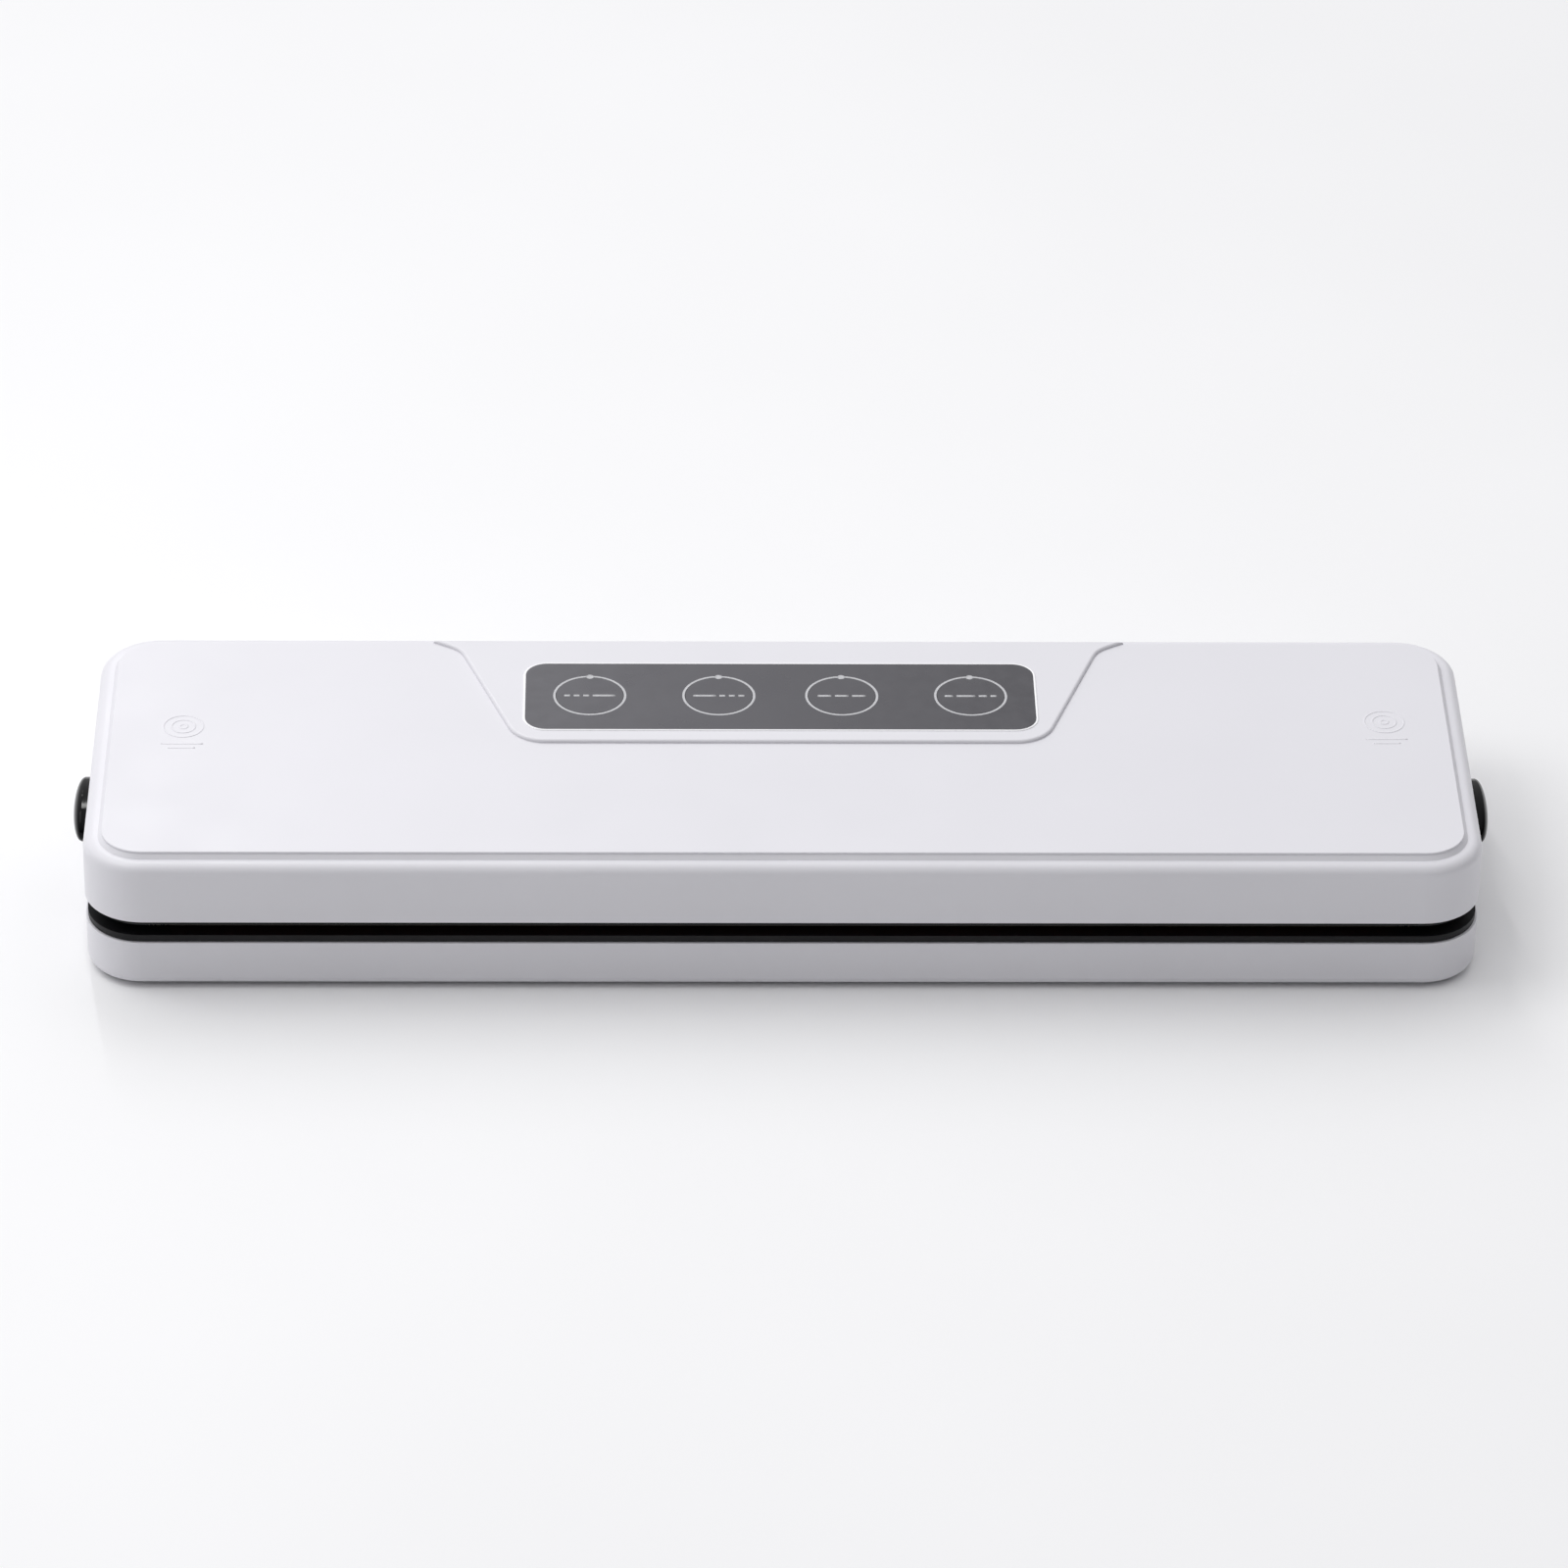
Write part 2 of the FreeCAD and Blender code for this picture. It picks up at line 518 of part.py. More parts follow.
def latch_rails(side, sign):
    """The stop behind one latch spring and the two rails that its slider runs between."""
    rise = "plate_top - 0.2"
    stop = block(f"spring_stop_{side}", sided(sign, "stop_in", "stop_out"),
                 ("latch_y - stop_half", "latch_y + stop_half"), (rise, "stop_top"))
    near_face, far_face = "latch_half + button_gap", "latch_half + button_gap + guide_wall"
    length = sided(sign, "slider_in + 1", "slider_out - 2.7")
    front = block(f"latch_guide_{side}_front", length,
                  (f"latch_y - ({far_face})", f"latch_y - ({near_face})"), (rise, "guide_top"))
    rear = block(f"latch_guide_{side}_rear", length,
                 (f"latch_y + {near_face}", f"latch_y + {far_face}"), (rise, "guide_top"))
    return [stop, front, rear]


# ---------------------------------------------------------------- control panel

def control_panel():
    """Film, light rings, keys, switches, board and its cover, all inside the lid."""
    film = slab("film", ("-panel_half_x", "panel_half_x"), ("panel_low_y", "panel_high_y"),
                ("panel_low", "panel_top"), "panel_corner")
    pocket(film, "panel_low", "panel_top", discs=[(x, "key_y", "ring_outer") for x in KEY_PLACES])
    pocket(film, "panel_low", "panel_top",
           discs=[(x, "lens_y", "lens_radius") for x in KEY_PLACES])
    node("control_overlay", film)
    rings = []
    lenses = []
    switches = []
    lamps = []
    for number, x in enumerate(KEY_PLACES, start=1):
        lens_place = (x, "lens_y")
        ring = tube(f"whole_ring_{number}", "z", ("key_floor", "panel_top"), (x, "key_y"),
                    "ring_outer", "ring_inner")
        seat = rod(f"lens_seat_{number}", "z", ("key_floor - 1", "panel_top + 1"), lens_place,
                   "lens_radius")
        rings.append(cut(f"light_ring_{number}", ring, seat))
        lenses.append(rod(f"lens_{number}", "z", ("pad_top - roof", "panel_top"), lens_place,
                          "lens_radius"))
        cap = rod(f"key_top_{number}", "z", ("key_low", "panel_top"), (x, "key_y"),
                  "ring_inner - key_gap")
        stem = rod(f"key_stem_{number}", "z", ("key_stem_low", "key_low"), (x, "key_y"), "key_stem")
        relief = rod(f"key_relief_{number}", "z", ("key_low - 1", "panel_top + 1"), lens_place,
                     "lens_radius + key_gap")
        node(f"key_cap_{number}", cut(f"key_cap_{number}", join(f"key_blank_{number}", cap, stem),
                                      relief))
        case = block(f"switch_case_{number}", (f"{x} - switch_half", f"{x} + switch_half"),
                     ("key_y - switch_half", "key_y + switch_half"), ("pcb_top", "switch_top"))
        tip = rod(f"switch_tip_{number}", "z", ("switch_top", "switch_tip"), (x, "key_y"),
                  "switch_tip_radius")
        switches.append(join(f"tact_switch_{number}", case, tip))
        lamps.append(block(f"lamp_{number}", (f"{x} - 1.4", f"{x} + 1.4"),
                           ("lens_y - 1.3", "lens_y + 1.3"), ("pcb_top", "pcb_top + 1.6")))
    node("light_rings", group("light_rings", *rings))
    node("indicator_lenses", group("indicator_lenses", *lenses))
    node("tact_switches", group("tact_switches", *switches))
    node("indicator_leds", group("indicator_leds", *lamps))
    board = slab("board", ("-pcb_half_x", "pcb_half_x"), ("pcb_low_y", "pcb_high_y"),
                 ("pcb_low", "pcb_top"), "2")
    pocket(board, "pcb_low", "pcb_top", discs=[(x, y, "pcb_hole") for x, y in PCB_POSTS])
    node("control_pcb", board)
    cover = slab("board_cover", ("-pcb_half_x - 2", "pcb_half_x + 2"),
                 ("pcb_low_y - 1", "pcb_high_y + 1.5"), ("cover_low", "pcb_low"), "3")
    pocket(cover, "cover_low + 1.4", "pcb_low", [rectangle(
        ("-pcb_half_x + 1", "pcb_half_x - 1"), ("pcb_low_y + 1.5", "pcb_high_y - 1.5"))])
    pad(cover, "cover_low + 0.5", "pcb_low", discs=[(x, y, "pcb_post") for x, y in PCB_POSTS])
    pocket(cover, "cover_low", "pcb_low", discs=[(x, y, "pcb_hole") for x, y in PCB_POSTS])
    node("pcb_cover", cover)
    node("pcb_screws", screws("pcb_screw", PCB_POSTS, "cover_low", "cover_low - 1.2",
                              "pcb_top + 3.5", "2.4", "1.1"))


def screws(name, places, seat, head_end, tip, head_radius, shank_radius):
    """Identical screws, each a head below its seat and a shank up to its tip."""
    made = []
    for number, (x, y) in enumerate(places, start=1):
        head = rod(f"{name}_head_{number}", "z", (head_end, seat), (x, y), head_radius)
        shank = rod(f"{name}_shank_{number}", "z", (seat, tip), (x, y), shank_radius)
        slot = block(f"{name}_slot_{number}", (f"{x} - 1.6", f"{x} + 1.6"),
                     (f"{y} - 0.3", f"{y} + 0.3"), (head_end, f"{head_end} + 0.5"))
        made.append(cut(f"{name}_{number}", join(f"{name}_blank_{number}", head, shank), slot))
    return group(f"{name}s", *made)


# ---------------------------------------------------------------- latches

def latch(side, sign):
    """A glossy release button on a slider whose hook holds the lid to the deck."""
    low = "plate_top + 0.3"
    plate = block(f"slider_plate_{side}", sided(sign, "slider_in", "slider_out"),
                  ("latch_y - latch_half", "latch_y + latch_half"), (low, "slider_top"))
    tab = block(f"slider_tab_{side}", sided(sign, "slider_out - 2", "slider_out"),
                ("latch_y - latch_half + 1", "latch_y + latch_half - 1"), (low, "tab_top"))
    seat = block(f"slider_seat_{side}", sided(sign, "slider_in", "slider_in + 2"),
                 ("latch_y - stop_half", "latch_y + stop_half"), (low, "stop_top"))
    grip = ("latch_y - hook_half", "latch_y + hook_half")
    leg = block(f"hook_leg_{side}", sided(sign, "hook_x", "hook_out"), grip,
                ("hook_low", "slider_top - 0.6"))
    barb = block(f"hook_barb_{side}", sided(sign, "hook_out - 0.5", "barb_out"), grip,
                 ("hook_low", "barb_top"))
    node(f"latch_slider_{side}", join(f"latch_slider_{side}", plate, tab, seat, leg, barb))
    dome = doc.addObject("Part::Ellipsoid", f"button_dome_{side}")
    bind(dome, "Radius1", "button_half_z - 0.1")
    bind(dome, "Radius2", "button_out - button_side")
    bind(dome, "Radius3", "button_half_y - 0.1")
    for axis, place in (("x", f"{sign}*(lid_half_x + button_side)"), ("y", "latch_y"),
                        ("z", "button_z")):
        bind(dome, f"Placement.Base.{axis}", place)
    inside = block(f"button_inside_{side}",
                   sided(sign, "lid_half_x - 10", "lid_half_x + button_side - 0.6"),
                   ("latch_y - 20", "latch_y + 20"), ("button_z - 10", "button_z + 10"))
    outside = cut(f"button_lens_{side}", dome, inside)
    shank = oval(f"button_shank_{side}", sign, ("slider_out", "lid_half_x + button_side"),
                 "button_half_y", "button_half_z")
    flange = block(f"button_flange_{side}",
                   sided(sign, "slider_out + 0.9", "lid_half_x - wall - button_gap"),
                   ("latch_y - button_half_y - 1.4", "latch_y + button_half_y + 1.4"),
                   ("button_z - button_half_z + 0.3", "button_z + button_half_z - 0.3"))
    node(f"release_button_{side}", join(f"release_button_{side}", outside, shank, flange))
    node(f"latch_spring_{side}", tube(
        f"latch_spring_{side}", "x", sided(sign, "stop_out", "slider_in"),
        ("latch_y", "spring_z"), "spring_outer", "spring_inner"))


# ---------------------------------------------------------------- base shells

def base_tray():
    """The white lower shell with its posts, foot holes, vents and rear inlet opening."""
    body = doc.addObject("PartDesign::Body", "tray_body")
    half_x, half_y = "lid_half_x - base_inset_x", "lid_half_y - base_inset_y"
    pad(body, "foot_top", "tray_top", plates=[centred(half_x, half_y, "base_corner")])
    dress(body, "Fillet", "tray_round", level_with("foot_top"))
    pocket(body, "tray_floor", "tray_top",
           plates=[centred(f"{half_x} - wall", f"{half_y} - wall", "base_corner - wall")])
    pad(body, "tray_floor - 1", "deck_low", discs=[(x, y, "3.4") for x, y in CASE_POSTS])
    pad(body, "tray_floor - 1", "board_low", discs=[(x, y, "2.4") for x, y in BOARD_POSTS])
    pocket(body, "foot_top", "deck_low", discs=[(x, y, "1.7") for x, y in CASE_POSTS])
    pocket(body, "foot_top", "foot_top + 1.6", discs=[(x, y, "3.0") for x, y in CASE_POSTS])
    pocket(body, "foot_top", "tray_floor",
           discs=[(x, y, "foot_stem + 0.1") for x, y in FOOT_PLACES])
    slots = [(f"motor_low_x + {step}", f"motor_low_x + {step + 2}") for step in range(2, 52, 6)]
    pocket(body, "foot_top", "tray_floor",
           [rectangle(span, ("motor_y - 14", "motor_y + 14")) for span in slots])
    through = ("lid_half_y - 5.8", "lid_half_y + 0.2")
    inlet = block("inlet_opening", ("inlet_x - inlet_half", "inlet_x + inlet_half"), through,
                  ("inlet_low", "inlet_top"))
    port = rod("port_opening", "y", through, ("port_x", "port_z"), "port_outer")
    node("base_tray", cut("base_tray", body, inlet, port))


def base_deck():
    """The black working deck: sealing channel, gasket groove, trough and hinge knuckles."""
    body = doc.addObject("PartDesign::Body", "deck_body")
    half_x = "lid_half_x - base_inset_x"
    half_y = "lid_half_y - base_inset_y"
    pad(body, "deck_low", "deck_top", plates=[centred(
        f"{half_x} - wall - deck_gap", f"{half_y} - wall - deck_gap", "deck_corner")])
    pad(body, "tray_top + deck_gap", "deck_top", plates=[centred(
        f"{half_x} - deck_lip", f"{half_y} - deck_lip", "base_corner - deck_lip")])
    pad(body, "trough_floor - trough_wall", "deck_low + 1", [rectangle(
        ("-trough_x - trough_wall", "trough_x + trough_wall"),
        ("trough_front - trough_wall", "trough_rear + trough_wall"))])
    pocket(body, "trough_floor", "deck_top", plates=[(
        ("-trough_x", "trough_x"), ("trough_front", "trough_rear"), "5")])
    pocket(body, "groove_low", "deck_top", [rectangle(
        ("-heat_x - 6", "heat_x + 6"), ("heat_y - heat_half", "heat_y + heat_half"))])
    pocket(body, "deck_low", "deck_top",
           [rectangle(sided(sign, "hook_x - latch_travel - 0.6", "slot_out"),
                      ("latch_y - hook_half - 1", "latch_y + hook_half + 1"))
            for _, sign in SIDES])
    pocket(body, "deck_low", "deck_top", [rectangle(
        ("-bay_x + 4", "bay_x - 4"), ("bay_front + 3", "bay_rear - 3.2"))])
    pocket(body, "deck_low", "deck_top", discs=[("0", "hinge_y", "wire_radius + 0.4")])
    pocket(body, "deck_low", "deck_low + 1.2", discs=[(x, y, "1.2") for x, y in CASE_POSTS])
    extras = [rod("suction_port", "y", ("trough_rear + 1", "suction_end"),
                  ("suction_x", "suction_z"), "suction_outer")]
    for side, sign in SIDES:
        span = sided(sign, "hinge_x - knuckle_half", "hinge_x + knuckle_half")
        extras.append(rod(f"base_knuckle_{side}", "x", span, ("hinge_y", "hinge_z"),
                          "knuckle_radius"))
        extras.append(block(f"knuckle_stem_{side}", span, ("hinge_y - 2.6", "hinge_y + 0.5"),
                            ("deck_top - 0.5", "hinge_z")))
    bores = [hinge_bore(f"base_bore_{side}", sign, "pin_radius") for side, sign in SIDES]
    bores.append(rod("suction_bore", "y", ("trough_rear - 1", "suction_end"),
                     ("suction_x", "suction_z"), "suction_bore"))
    # The lid's rear wall lies in this step of the rear edge when the lid stands open.
    bores.append(block("rear_rebate", ("-lid_half_x", "lid_half_x"),
                       ("hinge_y + 0.6", "lid_half_y"), ("deck_top - 1.8", "deck_top + 0.5")))
    groove = frame_ring("lower_groove_ring", ("groove_low", "deck_top + 1"), "seal_half + 0.1")
    node("base_deck", cut("base_deck", join("deck_whole", body, *extras), groove, *bores))


def bay_cover():
    """The black casing over the pump, transformer and boards, two towers and a low middle."""
    body = doc.addObject("PartDesign::Body", "bay_cover")
    depth = ("bay_front", "bay_rear")
    pad(body, "deck_top", "bay_mid_top", [rectangle(("-bay_x", "bay_x"), depth)])
    for _, sign in SIDES:
        pad(body, "bay_mid_top", "bay_top", [rectangle(sided(sign, "bay_tower_x", "bay_x"), depth)])
    dress(body, "Fillet", "bay_corner", upright("deck_top", "bay_top"))
    dress(body, "Fillet", "bay_round", level_with("bay_top"))
    inner = ("bay_front + bay_wall", "bay_rear - bay_wall")
    pocket(body, "deck_top", "bay_mid_top - bay_wall",
           [rectangle(("-bay_x + bay_wall", "bay_x - bay_wall"), inner)])
    for _, sign in SIDES:
        pocket(body, "bay_mid_top - bay_wall - 1", "bay_top - bay_wall",
               [rectangle(sided(sign, "bay_tower_x + bay_wall", "bay_x - bay_wall"), inner)])
    node("bay_cover", body)


def base_parts():
    """Feet, screws, pins, seals and the sealing heater on the base."""
    feet = []
    for number, (x, y) in enumerate(FOOT_PLACES, start=1):
        sole = rod(f"foot_sole_{number}", "z", ("0", "foot_top"), (x, y), "foot_radius")
        stem = rod(f"foot_stem_{number}", "z", ("foot_top", "tray_floor + 0.8"), (x, y),
                   "foot_stem")
        feet.append(join(f"foot_{number}", sole, stem))
    node("feet", group("feet", *feet))
    node("case_screws", screws("case_screw", CASE_POSTS, "foot_top + 1.6", "foot_top + 0.3",
                               "deck_low + 1.1", "2.7", "1.15"))
    for side, sign in SIDES:
        span = sided(sign, "hinge_x - hinge_half", "hinge_x + hinge_half")
        node(f"hinge_pin_{side}", rod(f"hinge_pin_{side}", "x", span, ("hinge_y", "hinge_z"),
                                      "pin_radius"))
    node("lower_gasket", frame_ring("lower_gasket", ("groove_low", "lower_seal_top"), "seal_half"))
    channel = ("heat_y - heat_half", "heat_y + heat_half")
    node("heater_bar", block("heater_bar", ("-heat_x", "heat_x"), channel, ("groove_low", "bar_top")))
    node("heater_ribbon", block("heater_ribbon", ("-heat_x + 2", "heat_x - 2"),
                                ("heat_y - ribbon_half", "heat_y + ribbon_half"),
                                ("bar_top", "ribbon_top")))
    node("ptfe_tape", block("ptfe_tape", ("-heat_x", "heat_x"), channel, ("ribbon_top", "tape_top")))
    clips = [block(f"terminal_{side}", sided(sign, "heat_x + 0.3", "heat_x + 5.4"),
                   ("heat_y - heat_half + 1", "heat_y + heat_half - 1"),
                   ("groove_low", "tape_top")) for side, sign in SIDES]
    node("heater_terminals", group("heater_terminals", *clips))
    node("inlet_filter", tube("inlet_filter", "z", ("trough_floor", "trough_floor + filter_height"),
                              ("filter_x", "filter_y"), "filter_outer", "filter_inner"))


# ---------------------------------------------------------------- pump and electronics

def pump():
    """A small diaphragm pump: motor can, crank on its shaft, rod, diaphragm and cap."""
    centre = ("motor_y", "motor_z")
    can = rod("can", "x", ("motor_low_x", "motor_high_x"), centre, "motor_radius")
    collar = rod("can_collar", "x", ("motor_low_x - 2", "motor_low_x"), centre, "4")
    bore = rod("can_bore", "x", ("motor_low_x - 3", "motor_high_x + 1"), centre,
               "shaft_radius + 0.1")
    node("pump_motor", cut("pump_motor", join("can_whole", can, collar), bore))
    shaft = rod("shaft", "x", ("motor_low_x - 3", "crank_x + crank_half"), centre, "shaft_radius")
    crank = rod("crank", "x", ("crank_x - crank_half", "crank_x + crank_half"),
                ("motor_y", "motor_z + crank_offset"), "crank_radius")
    node("pump_rotor", join("pump_rotor", shaft, crank))
    sides = ("motor_y - head_half", "motor_y + head_half")
    outer = block("head_outer", ("head_low_x", "head_high_x"), sides, ("head_low", "head_top"))
    cavity = block("head_cavity", ("head_low_x + 1.6", "head_high_x - 2"),
                   ("motor_y - head_half + 2", "motor_y + head_half - 2"),
                   ("head_low + 2", "head_top"))
    hole = rod("head_hole", "x", ("head_low_x - 1", "head_low_x + 3"), centre,
               "shaft_radius + 0.4")
    node("pump_head", cut("pump_head", outer, cavity, hole))
    eye = tube("rod_eye", "x", ("crank_x - 2.6", "crank_x + 2.6"), centre,
               "rod_outer", "crank_radius + crank_offset + 0.4")
    stalk = block("rod_stalk", ("crank_x - 2", "crank_x + 2"), ("motor_y - 2", "motor_y + 2"),
                  ("motor_z + rod_outer - 1.2", "head_top - 0.2"))
    node("pump_rod", join("pump_rod", eye, stalk))
    node("pump_diaphragm", block("pump_diaphragm", ("head_low_x", "head_high_x"), sides,
                                 ("head_top", "head_top + 1")))
    cap = block("cap_block", ("head_low_x + 1", "head_high_x - 1"),
                ("motor_y - head_half + 1", "motor_y + head_half - 1"), ("head_top + 1", "cap_top"))
    spout = block("cap_spout", ("spout_x - spout_half", "spout_x + spout_half"),
                  ("spout_front", "motor_y - head_half + 2"), ("spout_low", "spout_top"))
    node("pump_cap", join("pump_cap", cap, spout))
    cradle = block("cradle", ("cradle_x - cradle_half", "cradle_x + cradle_half"),
                   ("motor_y - 9", "motor_y + 9"), ("tray_floor", "cradle_top"))
    bed = rod("cradle_bed", "x", ("cradle_x - cradle_half - 1", "cradle_x + cradle_half + 1"),
              centre, "motor_radius")
    node("pump_cradle", cut("pump_cradle", cradle, bed))
    node("suction_hose", hose("suction_hose", [
        ("suction_x", "suction_end", "suction_z"), ("suction_x", "hose_rear", "suction_z"),
        ("spout_x", "hose_rear", "hose_rise"), ("spout_x", "hose_rear", "spout_low")],
        "hose_radius", "hose_bend"))


def transformer():
    """A laminated core with two windows and the winding around its middle limb."""
    across = ("core_x - core_half_x", "core_x + core_half_x")
    core = block("core", across, ("core_y - core_half_y", "core_y + core_half_y"),
                 ("board_top", "core_top"))
    windows = [block(f"core_window_{part}", across, span, ("window_low", "window_top"))
               for part, span in (("front", ("core_y - window_out", "core_y - limb_half")),
                                  ("rear", ("core_y + limb_half", "core_y + window_out")))]
    node("transformer_core", cut("transformer_core", core, *windows))
    winding = block("winding_outer", ("core_x - winding_half_x", "core_x + winding_half_x"),
                    ("core_y - winding_half_y", "core_y + winding_half_y"),
                    ("window_low + 0.2", "window_top - 0.2"))
    limb = block("winding_limb", ("core_x - core_half_x - 0.1", "core_x + core_half_x + 0.1"),
                 ("core_y - limb_half", "core_y + limb_half"), ("window_low", "window_top + 0.4"))
    node("transformer_winding", cut("transformer_winding", winding, limb))


def mains_inlet():
    """A two-pin appliance inlet whose figure-of-eight mouth opens at the rear."""
    shell = block("inlet_shell", ("inlet_x - inlet_half", "inlet_x + inlet_half"),
                  ("inlet_front", "inlet_rear"), ("inlet_low", "inlet_top"))
    depth = ("inlet_floor", "inlet_rear + 1.1")
    tools = [block("inlet_bridge", ("inlet_x - mouth_x", "inlet_x + mouth_x"), depth,
                   ("inlet_z - mouth_half", "inlet_z + mouth_half"))]
    prongs = []
    for side, sign in SIDES:
        tools.append(rod(f"inlet_mouth_{side}", "y", depth, (f"inlet_x + {sign}*mouth_x", "inlet_z"),
                         "mouth_radius"))
        prongs.append(rod(f"inlet_pin_{side}", "y", ("inlet_floor", "prong_rear"),
                          (f"inlet_x + {sign}*prong_x", "inlet_z"), "prong_radius"))
    node("mains_inlet", cut("mains_inlet", shell, *tools))
    node("inlet_pins", group("inlet_pins", *prongs))


def air_valve():
    """A solenoid that lets air back in, and its plunger with a sealing disc."""
    coil = block("coil", ("coil_low_x", "coil_high_x"),
                 ("valve_y - coil_half", "valve_y + coil_half"),
                 ("tray_floor", "tray_floor + 2*coil_half"))
    centre = ("valve_y", "valve_z")
    bore = rod("coil_bore", "x", ("coil_low_x + 4", "coil_high_x + 1"), centre, "coil_bore")
    node("valve_coil", cut("valve_coil", coil, bore))
    stem = rod("plunger_stem", "x", ("plunger_low_x", "plunger_high_x - 1"), centre,
               "plunger_radius")
    disc = rod("plunger_disc", "x", ("plunger_high_x - disc_width", "plunger_high_x"), centre,
               "disc_radius")
    node("valve_plunger", join("valve_plunger", stem, disc))


def electronics():
    """Power board, inlet, transformer, valve, sensors and the wiring."""
    node("power_board", block("power_board", ("board_left", "board_right"),
                              ("board_front", "board_rear"), ("board_low", "board_top")))
    transformer()
    cans = [rod(f"capacitor_{number}", "z", ("board_top", top), (x, y), radius)
            for number, (x, y, top, radius) in enumerate((
                ("capacitor_x", "capacitor_front", "capacitor_top", "capacitor_radius"),
                ("capacitor_x", "capacitor_rear", "capacitor_top", "capacitor_radius"),
                ("filter_can_x", "core_y", "filter_can_top", "filter_can_radius")), start=1)]
    node("capacitors", group("capacitors", *cans))
    mains_inlet()
    node("accessory_port", tube("accessory_port", "y", ("port_front", "port_rear"),
                                ("port_x", "port_z"), "port_outer", "port_bore"))
    air_valve()
    node("vacuum_sensor", block("vacuum_sensor", ("sensor_x - sensor_half", "sensor_x + sensor_half"),
                                ("sensor_y - sensor_half", "sensor_y + sensor_half"),
                                ("tray_floor", "sensor_top")))
    node("reed_sensor", block("reed_sensor", ("reed_x - reed_half_x", "reed_x + reed_half_x"),
                              ("reed_y - reed_half_y", "reed_y + reed_half_y"),
                              ("reed_low", "deck_low")))
    node("lid_magnet", block("lid_magnet", ("reed_x - reed_half_x", "reed_x + reed_half_x - 1"),
                             ("reed_y - magnet_half", "reed_y + magnet_half"),
                             ("plate_top", "magnet_top")))
    node("base_harness", hose("base_harness", [
        ("wire_left", "wire_front", "wire_low"), ("0", "hinge_y", "wire_low"),
        ("0", "hinge_y", "hinge_z - wire_gap")], "wire_radius", "base_bend"))
    node("lid_harness", hose("lid_harness", [
        ("0", "hinge_y", "hinge_z + wire_gap"), ("0", "hinge_y", "wire_top"),
        ("0", "wire_end", "wire_top")], "wire_radius", "lid_bend"))


def lid_parts():
    """Seals, pressure strip and screws that hang on the lid plate."""
    node("upper_gasket", frame_ring("upper_gasket", ("upper_seal_low", "upper_groove"), "seal_half"))
    node("pressure_strip", block("pressure_strip", ("-heat_x", "heat_x"),
                                 ("heat_y - heat_half + 0.5", "heat_y + heat_half - 0.5"),
                                 ("strip_low", "upper_groove")))
    node("lid_screws", screws("lid_screw", LID_POSTS, "plate_low", "plate_low - 1", "plate_top + 8",
                              "2.6", "1.15"))


def write_parts():
    """Check every object of the document and write one file per sub-part."""
    doc.recompute()
    for item in doc.Objects:
        if "Invalid" in item.State or "Error" in item.State:
            raise RuntimeError(f"{item.Name} failed: {item.State}")
    os.makedirs("parts", exist_ok=True)
    for item in nodes:
        shape = item.Shape
        if shape.isNull() or not shape.isValid() or not shape.Solids:
            raise RuntimeError(f"{item.Label} has no valid solid")
        shape.exportStep(f"parts/{item.Label}.step")
        print(f"{item.Label}: {len(shape.Solids)} solids, {shape.Volume:.0f} mm3")


lid_cover()
lid_plate()
control_panel()
for side, sign in SIDES:
    latch(side, sign)
base_tray()
base_deck()
bay_cover()
base_parts()
pump()
electronics()
lid_parts()
write_parts()
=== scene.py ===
import json
import math

import bmesh
import bpy
from mathutils import Matrix, Vector


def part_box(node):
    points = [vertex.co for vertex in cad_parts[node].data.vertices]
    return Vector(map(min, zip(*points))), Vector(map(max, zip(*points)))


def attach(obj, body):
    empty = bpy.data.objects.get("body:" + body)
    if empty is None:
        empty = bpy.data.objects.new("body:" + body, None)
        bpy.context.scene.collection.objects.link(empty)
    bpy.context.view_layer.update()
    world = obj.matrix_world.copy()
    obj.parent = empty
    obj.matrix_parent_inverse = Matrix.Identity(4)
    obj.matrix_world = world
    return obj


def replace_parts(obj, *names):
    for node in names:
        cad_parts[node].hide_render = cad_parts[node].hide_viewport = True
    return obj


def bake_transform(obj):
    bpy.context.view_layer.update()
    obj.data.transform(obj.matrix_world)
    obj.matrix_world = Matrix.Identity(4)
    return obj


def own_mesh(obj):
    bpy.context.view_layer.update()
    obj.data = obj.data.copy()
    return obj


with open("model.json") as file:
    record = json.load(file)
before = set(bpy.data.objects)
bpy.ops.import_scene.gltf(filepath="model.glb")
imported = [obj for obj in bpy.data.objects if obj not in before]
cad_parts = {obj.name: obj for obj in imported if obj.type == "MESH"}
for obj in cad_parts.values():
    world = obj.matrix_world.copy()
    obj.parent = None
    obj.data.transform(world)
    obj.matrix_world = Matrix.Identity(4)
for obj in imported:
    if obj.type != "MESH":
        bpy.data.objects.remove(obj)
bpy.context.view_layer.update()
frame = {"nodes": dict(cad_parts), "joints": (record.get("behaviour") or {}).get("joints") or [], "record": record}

MM = 0.001
WAVE_UNIT = 0.314
NODES = frame["nodes"]


# ---------------------------------------------------------------- materials

